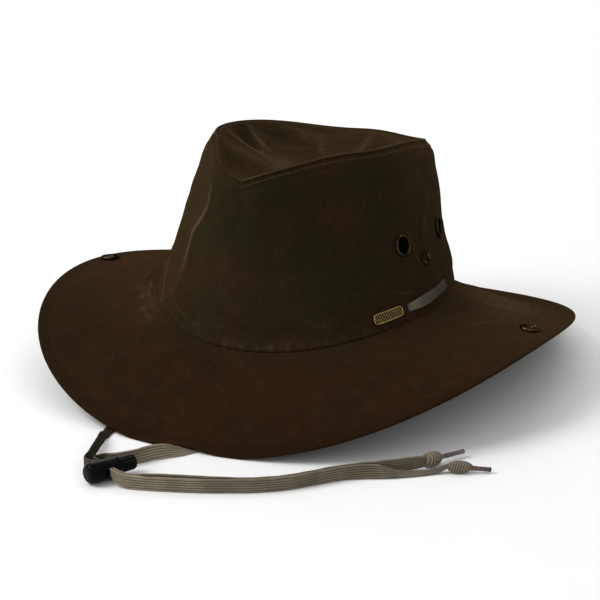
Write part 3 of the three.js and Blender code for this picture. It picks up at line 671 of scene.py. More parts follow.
per_degree = 0.0015
per_rise = 0.1
crown_creases = [
    # line of turn and rise, crest, flank, wear
    ([(-21, 0.90), (-22, 0.86), (-23.5, 0.73), (-32.5, 0.54), (-34, 0.36), (-36, 0.27)], 2.1, 6, 0.78),
    ([(-38, 1.0), (-30, 0.95), (-24, 0.89), (-21, 0.8)], 1.2, 10, 0.0),
    ([(-34, 0.32), (-38, 0.2), (-47, 0.06)], 1, 7, 0.15),
    ([(2, 1.02), (0, 0.8), (-3, 0.6)], -2.2, 14, 0.0),
    ([(83, 0.22), (79.8, 0.294), (78.7, 0.391), (77.2, 0.483), (73, 0.55)], 0.8, 2, 0.5),
    ([(84.9, 0.40), (89.4, 0.51), (94.5, 0.62), (98, 0.72)], 0.8, 3, 0.4),
    ([(120, 0.44), (115.5, 0.29), (111, 0.18), (107, 0.10), (105, 0.02)], 1.8, 4, 1.0),
    ([(152, 0.95), (157, 0.7), (163, 0.45), (161, 0.2)], 1.2, 8, 0.35),
    ([(206, 0.9), (201, 0.66), (196, 0.4), (199, 0.22)], 1.3, 7, 0.4),
    ([(-120, 0.5), (-112, 0.36), (-108, 0.2), (-100, 0.08)], 1.2, 5, 0.5),
    ([(-70, 0.86), (-74, 0.7), (-84, 0.58)], 0.9, 5, 0.35),
    ([(236, 0.5), (228, 0.3), (219, 0.12)], 1, 6, 0.4),
    ([(62, 0.21), (68, 0.17), (74, 0.15)], 0.6, 3, 0.35),
    ([(24, 0.22), (31, 0.14), (40, 0.1)], 0.5, 4, 0.15),
    ([(-56, 0.26), (-51.5, 0.15), (-47.5, 0.06), (-46, 0.0)], 1.1, 3, 0.7),
    ([(-10, 0.12), (-20, 0.08), (-32, 0.1), (-41, 0.16)], 0.7, 4, 0.2),
]
crown_folds = [(np.array(line) * (per_degree, per_rise), *sizes) for line, *sizes in crown_creases]


def crown_cloth(turn, rise, depth=0.0):
    """The crown's outer face with its creases, or a face so far inside it, and its paleness."""
    turn, rise = alike(turn, rise)
    plain = crown_plain(turn, rise)
    wrapped_turn = (turn + 125) % 360 - 125
    height, pale = fold_field(wrapped_turn * per_degree, rise * per_rise, crown_folds)
    calm = np.clip(rise / 0.05, 0, 1) * np.clip((1 - rise) / 0.08, 0, 1)
    swell = 0.00034 * ripples(plain, 0.055, 3) + 0.00012 * ripples(plain, 0.017, 4)
    pucker = 0.00022 * np.sin(np.radians(turn) * 71 + 2 * np.sin(np.radians(turn) * 9))
    low = hump(rise - 0.035, 0.045) * pucker
    offset = height * np.clip((1.01 - rise) / 0.06, 0.25, 1) + swell * calm + low - depth
    return plain + crown_normal(turn, rise) * offset[..., None], pale


crown_columns = 480
turns = np.linspace(0, 360, crown_columns, endpoint=False)
crown_rises = np.concatenate([[0.013, 0.024], np.linspace(0.034, 0.985, 82), [1.0]])
outer, outer_pale = crown_cloth(turns, crown_rises[:, None])
inner, _ = crown_cloth(turns, crown_rises[::2, None], wall_thickness)
foot_height = join_line(turns)[:, 2] + 0.00135 - 0.0009 * hump(from_front(turns) - 130, 50)
for ring in (outer[0], inner[0]):
    ring[:, 2] = foot_height
rings = np.concatenate([outer, inner[::-1]])
heights = np.concatenate([crown_rises * per_rise, crown_rises[::2][::-1] * per_rise, [0]])
pale = np.concatenate([outer_pale, 0 * inner[::-1, :, 0]])
puckered = np.clip(0.45 + 0.45 * ripples(join_line(turns), 0.0048, 31), 0, 1.3)
rises = crown_rises[:, None]
left_turns = (turns + 90) % 360 - 90
seam_wear = 0.22 * hump(rises - 0.032, 0.022) * (0.35 + 0.65 * hump(turns - 180, 130))
front_wear = 0.13 * hump(rises - 0.032, 0.026) * hump(left_turns - 9, 22)
# Painted light brightens the crown's front, fading out above its middle.
front_painted_light = 0.16 * hump(left_turns - 18, 42) * (1 - np.clip((rises - 0.4) / 0.3, 0, 1))
pale[:len(outer)] += (seam_wear + front_wear) * puckered + front_painted_light
# Painted shade darkens the crown's side on the wearer's left.
crown_left_shade = 0 * pale
crown_left_shade[:len(outer)] = 0.72 * hump(turns - 98, 28) * np.clip(rises / 0.2, 0, 1)
rust_rises = np.concatenate([crown_rises, np.full(len(inner), crown_rises[0])])
run_round = np.linspace(0, 360, crown_columns + 1) * per_degree
crown_side = skin("crown_cloth", rings, heights, run_round, hoop=True,
                  paints={"worn": pale, "edge": crown_left_shade, "rust": 0.25 * hump(rust_rises, 0.2)[:, None]})


def seat(turn, rise):
    """A place on the crown: its point, and the way out of the cloth."""
    point, _ = crown_cloth(turn, rise)
    return point, crown_normal(turn, rise)


def drum(name, place, radius, columns=48):
    """A round cutter through the cloth at a seat."""
    return turned(name, *place, [(-6, radius), (6, radius)], columns)


lace_rise = 0.08
front_slit, rear_slit = 69.9, 96.8
slit_size = (4.0, 4.8)
eyelet_barrel = 5.1
eyelet_places = {
    "front_eyelet_left": (73.1, 0.431), "rear_eyelet_left": (103.5, 0.41),
    "front_eyelet_right": (-77.5, 0.431), "rear_eyelet_right": (-103.5, 0.41),
}
stud_places = {"crown_snap_left": (84.5, 0.303), "crown_snap_right": (-88, 0.303)}
snap_hole = 1.3
cutters = [drum("eyelet_hole", seat(*place), eyelet_barrel + 0.2) for place in eyelet_places.values()]
cutters += [drum("stud_hole", seat(*place), snap_hole, columns=24) for place in stud_places.values()]
for turn in (front_slit, rear_slit, -front_slit, -rear_slit):
    point, normal = seat(turn, lace_rise)
    around = unit(np.cross([0, 0, 1], normal))
    slit_axes = [around, np.cross(normal, around), normal]
    cutters.append(block("slit", point, slit_axes, (*slit_size, 8)))
cut_out(crown_side, cutters)

look = Look("waxed cotton")
u, v, _ = look.split(look.place("UV"))
patch = look.noise(22, 4, 0.6)
drift = look.noise(5.5, 2)
mottle = look.noise(130, 7, 0.74)
grain = look.noise(900, 3, 0.6)
crackle = look.noise(38, 5, 0.62)
crease_lines = (crackle - 0.5).size().between(0.0, 0.018, 1.0, 0.0)
thread_pitch = 0.00062
weave = (u * (math.tau / thread_pitch)).sine() * (v * (math.tau / thread_pitch)).sine()
olive = look.mix(patch.between(0.38, 0.62), (0.0160, 0.0146, 0.0064), (0.0272, 0.0140, 0.0074))
olive = look.mix(drift.between(0.42, 0.62) * 0.4, olive, (0.0172, 0.0146, 0.0070))
russet = look.mix(patch.between(0.38, 0.62), (0.0190, 0.0104, 0.0052), (0.0250, 0.0104, 0.0052))
fleck = look.noise(1300, 2)
# The worn paint lightens the cloth: real wear on creases, seams and the rim, paler lines on the lap, and
# painted light on the crown's lower front, over the tip and as a painted sheen on the brim's side at the
# wearer's left. The edge paint darkens the hem band and the stitch rows, and lays painted shade on the
# crown's side at the wearer's left, in the lap's grooves and on the brim at the wearer's right front.
brown = look.layer(look.mix(look.paint("rust"), olive, russet), [
    (mottle.between(0.45, 0.8) * 0.5, (0.040, 0.0235, 0.0118)),
    (crease_lines * patch.between(0.5, 0.75) * 0.08, (0.05, 0.034, 0.018)),
    (fleck.between(0.62, 0.74) * patch.between(0.4, 0.7) * 0.3, (0.095, 0.072, 0.044)),
    (look.paint("worn").between(0.0, 1.0) * 0.8, (0.105, 0.074, 0.040)),
    (look.paint("edge") * 0.6, (0.008, 0.0056, 0.0030)),
    (grain.between(0.3, 0.7, 0.5, 0.0), (0.008, 0.0054, 0.0028)),
])
bumpy = look.bump(weave, 0.00006, 0.5)
bumpy = look.bump(grain, 0.0003, 0.5, bumpy)
bumpy = look.bump(mottle + crease_lines * 0.12, 0.0007, 0.6, bumpy)
waxed_cotton = look.finish(base_color=brown,
                           roughness=patch.between(0.2, 0.8, 0.55, 0.72) + mottle * 0.12, normal=bumpy,
                           specular_ior_level=0.0, sheen_weight=0.06, sheen_roughness=0.45,
                           sheen_tint=(1.0, 0.60, 0.28))
crown_side.data.materials.append(waxed_cotton)
crown_side.data.shade_smooth()
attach(crown_side, "hat")
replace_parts(crown_side, "crown_side")


# The tip is a teardrop panel of the same cloth. It is pushed down into a dent, and creases
# run into the dent from the pinch at its front.
tip_inset = 0.0011
tip_sink = 0.0002
tip_middle = np.array([0, ridge_oval[2], 0.109])
tip_power = 1.8
tip_creases = [
    # line of x and y in millimetres, crest, flank, wear
    ([(-48, -20), (-42.5, -14.5), (-36.5, -9.5), (-30.7, -6), (-24, -4.5)], 3, 6.5, 0.5),
    ([(-49, 13), (-41.4, 8.5), (-35, 6.5), (-31, 10)], 2.6, 6, 0.45),
    ([(-47, -4), (-39.5, -0.5), (-33.5, 1.5)], -2.6, 4.5, 0.0),
    ([(-42, 33), (-35, 31), (-29, 29)], -1.6, 8, 0.0),
    ([(-38, 56), (-30, 50), (-24, 45)], 1.4, 8, 0.2),
    ([(-27, -56), (-20.5, -65), (-10, -79)], -1.4, 2.2, 0.0),
    ([(44, -30), (39, -16), (33, -3)], 2.2, 6, 0.7),
    ([(2, 85), (3, 62), (0, 40)], 1.2, 8, 0.3),
    ([(-28, 72), (-20, 52), (-12, 38)], 1, 7, 0.25),
    ([(26, 74), (20, 56), (14, 42)], 1, 7, 0.25),
]
tip_folds = [(np.array(line) * mm, *sizes) for line, *sizes in tip_creases]


def tip_cloth(turn, spread, depth):
    """The tip's surface from its middle (spread 0) to its edge (1), so far down."""
    turn, spread = alike(turn, spread)
    before, after = ridge_line(turn - 0.5), ridge_line(turn + 0.5)
    inward = unit(np.stack([before[..., 1] - after[..., 1], after[..., 0] - before[..., 0],
                            0 * turn], -1))
    rim = ridge_line(turn) + inward * tip_inset
    point = tip_middle * (1 - spread[..., None]) + rim * spread[..., None]
    point[..., 2] = tip_middle[2] + (rim[..., 2] - tip_middle[2]) * spread**tip_power
    height, pale = fold_field(point[..., 0], point[..., 1], tip_folds)
    calm = np.clip((1 - spread) / 0.12, 0, 1)
    swell = 0.0008 * ripples(point, 0.05, 8) + 0.00025 * ripples(point, 0.018, 9)
    point[..., 2] += height * np.clip((1.03 - spread) / 0.1, 0, 1) + swell * calm - depth
    return point, pale * np.clip((1.0 - spread) / 0.05, 0, 1)


spreads = np.concatenate([[0.004], np.linspace(0.03, 1.0, 76)])
upper, upper_pale = tip_cloth(turns, spreads[:, None], tip_sink)
lower, _ = tip_cloth(turns, spreads[::3, None], tip_sink + wall_thickness)
rings = np.concatenate([lower, upper[::-1]])
# The whole tip is painted a little lighter, and lighter still in a patch on the wearer's right of its
# dent: painted light.
tip_painted_light = 0.1 + 0.42 * hump(np.hypot(upper[..., 0] + 0.0262, (upper[..., 1] - 0.003) * 0.7), 0.012)
pale = np.concatenate([0 * lower[..., 0], (upper_pale + tip_painted_light)[::-1]])
crown_tip = skin("tip_cloth", rings, paints={"worn": pale, "edge": 0, "rust": 0.3})


def flat_uv(made):
    """Lays a piece's UV map out flat, seen from above, in metres."""
    places = np.zeros(len(made.data.vertices) * 3, np.float32)
    made.data.vertices.foreach_get("co", places)
    corners = np.zeros(len(made.data.loops), np.int32)
    made.data.loops.foreach_get("vertex_index", corners)
    made.data.uv_layers[0].data.foreach_set("uv", places.reshape(-1, 3)[corners, :2].ravel())


flat_uv(crown_tip)
crown_tip.data.materials.append(waxed_cotton)
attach(crown_tip, "hat")
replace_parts(crown_tip, "crown_tip")


# The tip's edge is turned down over the side and stitched through in two rows, which leaves
# a raised lip round the top of the crown.
lap_gap = 0.00035
lap_section = [
    # distance below the ridge, distance out
    (0.00020, -0.0012), (0.00300, -0.0010), (0.00520, -0.0008), (0.00560, -0.0004), (0.00520, 0.00000),
    (0.00460, 0.00012), (0.00400, 0.00022), (0.00345, 0.00030), (0.00315, 0.00020), (0.00290, 0.00008),
    (0.00265, 0.00022), (0.00235, 0.00040), (0.00200, 0.00042), (0.00170, 0.00022), (0.00150, 0.00000),
    (0.00130, 0.00025), (0.00105, 0.00060), (0.00070, 0.00080), (0.00030, 0.00078), (-0.00005, 0.00055),
    (-0.00020, 0.00015), (-0.00015, -0.0004),
]
lap_columns = 720
lap_turns = np.linspace(0, 360, lap_columns, endpoint=False)
wall_height = np.linalg.norm(ridge_line(lap_turns) - join_line(lap_turns), axis=-1)
pucker = 0.00010 * np.sin(np.radians(lap_turns) * 96 + 3 * np.sin(np.radians(lap_turns) * 5))
buried = np.clip(1.3 * hump(lap_turns - 328, 26), 0, 1)
lap_stands = 1 - buried
lap_rings = []
for below, out in lap_section:
    rise = np.clip(1 - below / wall_height, 0, 1)
    cloth, _ = crown_cloth(lap_turns, rise)
    push = lap_gap + max(out, 0) * lap_stands + min(out, 0) - 0.0007 * buried
    push = push + pucker * (0.0010 < below < 0.0045) * (out > 0)
    ring = cloth + crown_normal(lap_turns, rise) * push[:, None]
    ring[:, 2] += max(-below, 0)
    lap_rings.append(ring)
lap_rings = np.array(lap_rings)[::-1]
below, out = np.array(lap_section)[::-1].T
run = np.concatenate([below, below[:1]])
# The lip's top edge and the ridge below it are painted paler, and the two grooves below the lip are
# painted darker, as shade.
lip_pale = 0.5 * (below < 0.0008) * (out > 0.0003)
lip_pale = lip_pale + 0.45 * (np.abs(below - 0.0034) < 0.0003) * (out > 0)
lap_groove_shade = 1.0 * (np.abs(below - 0.0015) < 0.0002) + 0.4 * (np.abs(below - 0.0029) < 0.0001)
run_round = np.linspace(0, 360, lap_columns + 1) * per_degree
tip_lap = skin("tip_lap_cloth", lap_rings, run, run_round, hoop=True,
               paints={"worn": lip_pale[:, None] * lap_stands, "edge": lap_groove_shade[:, None] * lap_stands})
tip_lap.data.materials.append(waxed_cotton)
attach(tip_lap, "hat")
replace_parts(tip_lap, "tip_seam_lap")


# The brim is two plies of the same cloth, quilted together in close rows of stitching, with
# its edge turned. Its sides are rolled up, and it lies flat where it rests in front and behind.
brim_thickness = 0.0020
rim_oval = (0.155, 0.1648, -0.00115)
brim_length = 0.071
row_spacing = 0.0935
stitch_reaches = [0.035] + [row_spacing * row - 0.005 for row in range(1, 10)] + [0.905]
ripple_middle, ripple_half_width, ripple_height = 0.0045, 0.0194, 0.0024


def rim_line(turn):
    """The brim's outer edge, which is lifted at its sides."""
    angle = np.radians(turn)
    ahead = np.cos(angle)
    swell = 1 - 0.0072 * np.cos(3 * angle) - 0.0175 * np.cos(4 * angle)
    lift = 0.0387 * np.abs(np.sin(angle)) ** 2.17 * (1 + 0.385 * ahead)
    rear = 0.00113 * np.sin(2 * angle) ** 2 * (1 - ahead) / 2
    return oval(rim_oval, angle, swell, lift + rear - 0.001)


def brim_plain(turn, reach):
    """The middle of the brim's cloth, from the join (reach 0) to the rim (1)."""
    turn, reach = alike(turn, reach)
    join, rim = join_line(turn), rim_line(turn)
    point = join * (1 - reach[..., None]) + rim * reach[..., None]
    ahead = np.cos(np.radians(turn))
    end_roll = np.where(ahead > 0, 0.004, -0.0035)
    roll = end_roll * ahead**2 - 0.002 * (1 - ahead**2)
    height = np.where(reach < 0, join[..., 2], point[..., 2] + roll * 4 * reach * (1 - reach))
    height = np.maximum(height, brim_thickness / 2)
    beside = np.minimum(np.abs(point[..., 0] - ripple_middle) / ripple_half_width, 1)
    ripple = ripple_height * (1 - beside**2) ** 2 * np.maximum(reach, 0) ** 4
    point[..., 2] = height + np.where(point[..., 1] < 0, ripple, 0)
    return point


brim_creases = [
    # line of turn and reach, crest, flank, wear
    ([(-72, 0.26), (-63, 0.16), (-55, 0.06), (-50, 0.03)], 0.9, 4, 0.1),
    ([(-46, 0.26), (-38, 0.17), (-30, 0.10)], 0.7, 4, 0.1),
    ([(-36, 0.30), (-31, 0.18), (-26, 0.11)], 0.6, 4, 0.08),
    ([(-86, 0.15), (-76, 0.07), (-66, 0.03)], 0.8, 4, 0.1),
    ([(76, 0.30), (84, 0.42), (90, 0.60)], 0.8, 5, 0.2),
    ([(98, 0.25), (101, 0.5), (99, 0.74)], 0.7, 5, 0.2),
    ([(60, 0.15), (70, 0.09), (80, 0.07)], 0.5, 3, 0.15),
    ([(150, 0.2), (155, 0.4), (152, 0.6)], 0.7, 6, 0.2),
    ([(205, 0.3), (210, 0.5), (207, 0.7)], 0.8, 6, 0.25),
    ([(-120, 0.3), (-112, 0.45), (-108, 0.65)], 0.8, 6, 0.25),
    ([(12, 0.5), (22, 0.62), (35, 0.66)], 0.4, 6, 0.05),
    ([(-50, 0.15), (-43, 0.13), (-37, 0.15)], 0.9, 3, 0.4),
    ([(-56, 0.17), (-55, 0.12), (-58, 0.08)], 0.9, 3, 0.35),
]
join_buckles = 11
rng = np.random.default_rng(21)
for _ in range(join_buckles):
    # short creases where the brim buckles at the join
    turn, reach = rng.uniform(-78, -32), rng.uniform(0.04, 0.15)
    turn_step, reach_step = rng.uniform(2, 7), rng.uniform(-0.035, 0.035)
    line = [(turn - turn_step, reach - reach_step), (turn, reach + 0.008),
            (turn + turn_step, reach + reach_step)]
    brim_creases.append((line, rng.uniform(0.4, 0.8), rng.uniform(2.2, 3.4), rng.uniform(0.1, 0.35)))
brim_folds = [(brim_plain(*np.transpose(line))[:, :2], *sizes) for line, *sizes in brim_creases]


def brim_cloth(turn, reach, side):
    """The brim's upper (side 1) or lower (side -1) face, with its quilting and creases."""
    point = brim_plain(turn, reach)
    turn, reach = alike(turn, reach)
    height, pale = fold_field(point[..., 0], point[..., 1], brim_folds)
    rows = sum(hump(reach - row, 0.013) for row in stitch_reaches)
    tug = 0.00003 * np.sin(np.radians(turn) * 150 + 40 * reach) * rows
    calm = np.clip(reach / 0.12, 0, 1) * np.clip((point[..., 2] - 0.002) / 0.006, 0, 1)
    calm = calm * np.clip((1.02 - reach) / 0.2, 0, 1)
    swell = 0.0004 * ripples(point, 0.06, 15) + 0.00013 * ripples(point, 0.02, 16)
    lift = height * np.clip(reach / 0.05, 0, 1) + swell * calm
    face = side * (brim_thickness / 2 - 0.00005 * rows + 0.00003) + tug
    point[..., 2] += lift * calm + face
    floor = 0.0002 if side < 0 else 0.0015
    point[..., 2] = np.maximum(point[..., 2], floor)
    return point, pale


row_offsets = np.array([-0.022, -0.013, -0.007, 0.0, 0.007, 0.013, 0.022])
upper_reaches = np.add.outer(stitch_reaches, row_offsets).ravel()
upper_reaches = np.unique(np.concatenate([upper_reaches, np.linspace(0.02, 0.98, 24)]).round(4))
upper_reaches = upper_reaches[(upper_reaches > 0.004) & (upper_reaches < 0.984)]
upper_reaches = upper_reaches[np.concatenate([[True], np.diff(upper_reaches) > 0.0045])]
upper_reaches = np.concatenate([[-0.045, -0.02], upper_reaches])
brim_upper, upper_pale = brim_cloth(turns, upper_reaches[::-1, None], 1)
brim_lower, _ = brim_cloth(turns, upper_reaches[:, None], -1)
rim_rings = []
for angle in np.radians([-75, -45, -15, 15, 45, 75]):
    reach = 0.986 + brim_thickness / 2 / brim_length * math.cos(angle)
    upper_edge, _ = brim_cloth(turns, reach, 1)
    lower_edge, _ = brim_cloth(turns, reach, -1)
    share = (1 + math.sin(angle)) / 2
    rim_rings.append(upper_edge * share + lower_edge * (1 - share))
rings = np.concatenate([brim_upper, brim_lower, rim_rings])
pale = np.concatenate([upper_pale, 0 * brim_lower[..., 0], np.full((len(rim_rings), len(turns)), 0.12)])
reaches = np.concatenate([upper_reaches[::-1], upper_reaches, np.full(len(rim_rings), 1.0)])[:, None]
edge_dark = 0.45 * np.clip((reaches - 0.90) / 0.02, 0, 1)
seam_dark = 0.01 * sum(hump(reaches - row, 0.006) for row in stitch_reaches)
# The brim is painted darker over its front on the wearer's right, as painted shade, and darker still along
# its rim there.
brim_right_shade = 0.6 * hump(reaches - 0.75, 0.35) * hump(turns - 302, 20)
brim_right_shade = brim_right_shade + 0.4 * hump(reaches - 1, 0.13) * hump(turns - 292, 30)
# Pale wear along the join on the wearer's right front, and a painted sheen over the brim's side on the
# wearer's left.
join_wear_and_left_sheen = 0.3 * hump(reaches - 0.06, 0.11) * hump(turns - 306, 17)
join_wear_and_left_sheen = join_wear_and_left_sheen + 0.5 * hump(reaches - 0.42, 0.36) * hump(turns - 108, 18)
pale[:len(upper_reaches)] += join_wear_and_left_sheen[:len(upper_reaches)]
rust = (1 - 0.85 * hump(turns - 104, 34)) * (1 - 0.5 * hump(reaches, 0.16))
rust = rust * (1 - 0.6 * hump(reaches - 1, 0.16) * hump(turns - 292, 34))
brim = skin("brim_cloth", rings, hoop=True,
            paints={"worn": pale, "edge": np.clip(edge_dark + seam_dark + brim_right_shade, 0, 1), "rust": rust})
flat_uv(brim)
brim.data.materials.append(waxed_cotton)


def brim_seat(turn, reach):
    """A place in the middle of the brim's cloth: its point, and the way up out of it."""
    around = brim_plain(turn + 1, reach) - brim_plain(turn - 1, reach)
    outward = brim_plain(turn, reach + 0.01) - brim_plain(turn, reach - 0.01)
    return brim_plain(turn, reach), unit(np.cross(outward, around))


socket_places = {"brim_snap_left": (89.9, 0.78), "brim_snap_right": (-93, 0.85)}
cut_out(brim, [drum("socket_hole", brim_seat(*place), snap_hole, columns=24)
               for place in socket_places.values()])
brim.data.shade_smooth()
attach(brim, "hat")
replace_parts(brim, "brim")


# Every seam is sewn in a dark brown thread. The stitches lie half sunk in the cloth, in rows
# that follow the seams: round the brim, just above the join and round the lap.
def stitch_tree(material):
    """Puts a stitch at even steps along each line, its flat side on the cloth."""
    group = bpy.data.node_groups.new("rows of stitches", "GeometryNodeTree")
    face = group.interface
    face.new_socket("Seam lines", in_out="INPUT", socket_type="NodeSocketGeometry")
    sizes = {"Pitch": 0.0028, "Stitch length": 0.0021, "Thread width": 0.0006, "Slant": 4.0}
    for name, value in sizes.items():
        face.new_socket(name, in_out="INPUT", socket_type="NodeSocketFloat").default_value = value
    face.new_socket("Seed", in_out="INPUT", socket_type="NodeSocketInt").default_value = 7
    face.new_socket("Stitches", in_out="OUTPUT", socket_type="NodeSocketGeometry")
    tree = Tree(group)
    entry = group.nodes.new("NodeGroupInput")
    given = {socket.name: Wire(tree, socket) for socket in entry.outputs if socket.name}
    curve = tree.node("GeometryNodeMeshToCurve", inputs={"Mesh": given["Seam lines"]})
    steps = tree.node("GeometryNodeResampleCurve", {"mode": "LENGTH"},
                      {"Curve": curve, "Length": given["Pitch"]})
    tangent = tree.node("GeometryNodeInputTangent")
    upward = tree.node("GeometryNodeInputNamedAttribute", {"data_type": "FLOAT_VECTOR"}, {"Name": "up"})
    turned = tree.node("FunctionNodeAlignRotationToVector", {"axis": "X"}, {"Vector": tangent})
    turned = tree.node("FunctionNodeAlignRotationToVector", {"axis": "Z", "pivot_axis": "X"},
                       {"Rotation": turned, "Vector": upward})
    lean = given["Slant"] * (math.pi / 180)
    skew = tree.node("FunctionNodeRandomValue", {"data_type": "FLOAT"},
                     {2: lean * -1, 3: lean, "Seed": given["Seed"]}, output=1)
    spin = tree.node("ShaderNodeCombineXYZ", inputs={"Z": skew})
    spin = tree.node("FunctionNodeEulerToRotation", inputs={0: spin})
    turned = tree.node("FunctionNodeRotateRotation", {"rotation_space": "LOCAL"},
                       {"Rotation": turned, "Rotate By": spin})
    half_size = tree.node("ShaderNodeCombineXYZ", inputs={
        "X": given["Stitch length"] * 0.5, "Y": given["Thread width"] * 0.5,
        "Z": given["Thread width"] * 0.42})
    ball = tree.node("GeometryNodeMeshUVSphere", inputs={"Segments": 4, "Rings": 6, "Radius": 1.0})
    laid = tree.node("GeometryNodeTransform", inputs={"Geometry": ball, "Rotation": (0, math.pi / 2, 0)})
    stitch = tree.node("GeometryNodeTransform", inputs={"Geometry": laid, "Scale": half_size})
    placed = tree.node("GeometryNodeInstanceOnPoints",
                       inputs={"Points": steps, "Instance": stitch, "Rotation": turned})
    real = tree.node("GeometryNodeRealizeInstances", inputs={"Geometry": placed})
    dressed = tree.node("GeometryNodeSetMaterial", inputs={"Geometry": real, "Material": material})
    leave = group.nodes.new("NodeGroupOutput")
    group.links.new(dressed.socket, leave.inputs["Stitches"])
    return group


look = Look("sewing thread")
ply = look.noise(2600, 2)
thread = look.mix(ply.between(0.35, 0.7), (0.0150, 0.0088, 0.0043), (0.0280, 0.0160, 0.0082))
thread_material = look.finish(base_color=thread, roughness=ply.between(0, 1, 0.6, 0.8),
                              normal=look.bump(ply, 0.0002, 0.5), specular_ior_level=0.0,
                              sheen_weight=0.06, sheen_tint=(1.0, 0.60, 0.28))
stitching = stitch_tree(thread_material)


def sew(name, lines, ups, **sizes):
    """Rows of stitches along closed lines of points, with the way out of the cloth at each."""
    edges, start = [], 0
    for line in lines:
        count = len(line)
        edges += [(start + k, start + (k + 1) % count) for k in range(count)]
        start += count
    made = mesh_of(name, np.concatenate(lines), [], edges)
    made.data.attributes.new("up", "FLOAT_VECTOR", "POINT").data.foreach_set(
        "vector", np.concatenate(ups).astype(np.float32).ravel())
    modifier = made.modifiers.new("stitches", "NODES")
    modifier.node_group = stitching
    for socket, value in sizes.items():
        item = stitching.interface.items_tree[socket.replace("_", " ").capitalize()]
        modifier[item.identifier] = value
    take_in(made)
    made.data.shade_smooth()
    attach(made, "hat")
    return made


def face_normals(surface, side):
    """Outward normals of a grid of points, closed round its columns."""
    around = np.roll(surface, -1, 1) - np.roll(surface, 1, 1)
    outward = np.gradient(surface, axis=0)
    return unit(np.cross(outward, around)) * side


stitch_turns = np.linspace(0, 360, 360, endpoint=False)
for name, side in (("brim_stitches_upper", 1), ("brim_stitches_lower", -1)):
    lines, ups = [], []
    for row in stitch_reaches:
        near, _ = brim_cloth(stitch_turns, np.array([[row - 0.01], [row], [row + 0.01]]), side)
        ups.append(face_normals(near, side)[1])
        lines.append(near[1] + ups[-1] * 0.00002)
    sew(name, lines, ups, pitch=0.0029, stitch_length=0.0020, thread_width=0.00036)

lines, ups = [], []
for rise, out in ((0.026, 0.00005), (0.9685, lap_gap + 0.00012)):
    cloth, _ = crown_cloth(stitch_turns, rise)
    ups.append(crown_normal(stitch_turns, rise))
    lines.append(cloth + ups[-1] * out)
sew("crown_stitches", lines, ups, pitch=0.0027, stitch_length=0.002, thread_width=0.0005)


# The eyelets let air through the crown. Each is pressed from thin brass, rolled over a washer
# inside, and has gone dark except on the rim of its roll.
def ring_at(name, place, profile, columns=64):
    """A turned fitting on a seat, from rows of height and radius that close on themselves."""
    made = turned(name, *place, profile, columns, hoop=True)
    made.data.materials.append(aged_brass)
    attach(made, "hat")
    return made


look = Look("darkened brass")
film = look.noise(180, 4, 0.6)
speck = look.noise(1400, 2)
metal = look.mix(film.between(0.35, 0.65), (0.018, 0.0140, 0.0085), (0.080, 0.064, 0.038))
metal = look.mix(speck.between(0.55, 0.75) * 0.7, metal, (0.008, 0.006, 0.003))
aged_brass = look.finish(base_color=metal, metallic=1.0, roughness=film.between(0.3, 0.7, 0.45, 0.25),
                         normal=look.bump(speck, 0.00012, 0.5), specular_tint=(0.30, 0.22, 0.11))

inside = -(wall_thickness / mm + 1)
eyelet_profile = [
    (inside - 0.4, 4.9), (inside - 0.6, 5.2), (inside - 0.6, 6), (inside - 0.4, 6.3),
    (inside, 6.3), (inside, eyelet_barrel), (0.4, eyelet_barrel), (0.6, 6.2), (0.8, 6.4),
    (1.1, 6.3), (1.4, 6), (1.55, 5.7), (1.5, 5.3), (1.2, 5), (0.6, 4.9), (-1, 4.8),
]
for node, place in eyelet_places.items():
    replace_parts(ring_at(node.replace("eyelet", "vent_eyelet"), seat(*place), eyelet_profile), node)


# Snap fasteners hold the brim's sides up: a stud on each side of the crown, and a socket with
# a spring ring near the rim.
stud_profile = [
    (inside - 0.4, 0.4), (inside - 0.6, 3.6), (inside - 0.3, 4), (inside, 4), (inside, 1.2),
    (0.3, 1.2), (0.3, 4.4), (0.6, 4.6), (1, 4.3), (1.2, 3.4), (0.9, 2.4), (1.2, 1.8), (2.2, 1.7),
    (2.9, 2.2), (3.4, 2.4), (3.9, 2.1), (4.2, 1.4), (4, 0.8), (4, 0.4),
]
for node, place in stud_places.items():
    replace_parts(ring_at(node.replace("snap", "stud"), seat(*place), stud_profile, columns=48), node)
topside = brim_thickness / 2 / mm
underside = -(topside + 0.6)
socket_profile = [
    (underside - 0.3, 0.4), (underside - 0.6, 4.4), (underside - 0.3, 5), (underside, 5),
    (underside, 1.2), (topside + 0.3, 1.2), (topside + 0.3, 5.3), (topside + 0.6, 5.6),
    (topside + 1.2, 5.6), (topside + 1.8, 5.2), (topside + 2, 4.6), (topside + 1.8, 4),
    (topside + 1.4, 3.7), (topside + 1.4, 3.3), (topside + 1.7, 3.1), (topside + 1.6, 2.7),
    (topside + 0.8, 2.6), (topside + 0.5, 2.2), (topside + 0.6, 0.4),
]
for node, place in socket_places.items():
    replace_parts(ring_at(node.replace("snap", "socket"), brim_seat(*place), socket_profile), node)


# A small plain brass plate is pinned low on the crown, in front of the left slit. It has a
# raised border and a darkened field with fine slanting lines.
plate_turn, plate_rise = 59.9, 0.085
plate_length, plate_height = 0.0200, 0.0054
degrees_per_metre = 620
rise_per_metre = 11.2
share = np.linspace(-1, 1, 181)[:, None]
upways = np.linspace(-1, 1, 41)
half_height = plate_height / 2 * np.maximum((1 - np.abs(share) ** 9) ** (1 / 3), 0.05)
turn = plate_turn + share * plate_length / 2 * degrees_per_metre
rise = plate_rise + upways * half_height * rise_per_metre
to_edge = np.minimum((1 - np.abs(share)) * plate_length / 2, (1 - np.abs(upways)) * half_height)
border = hump(to_edge - 0.00025, 0.00018)
field = np.clip((to_edge - 0.00038) / 0.00018, 0, 1)
slant = (share * plate_length / 2 + upways * half_height * 0.5) / 0.0015
lines = field * (0.5 + 0.5 * np.sin(slant * 2 * np.pi)) ** 2
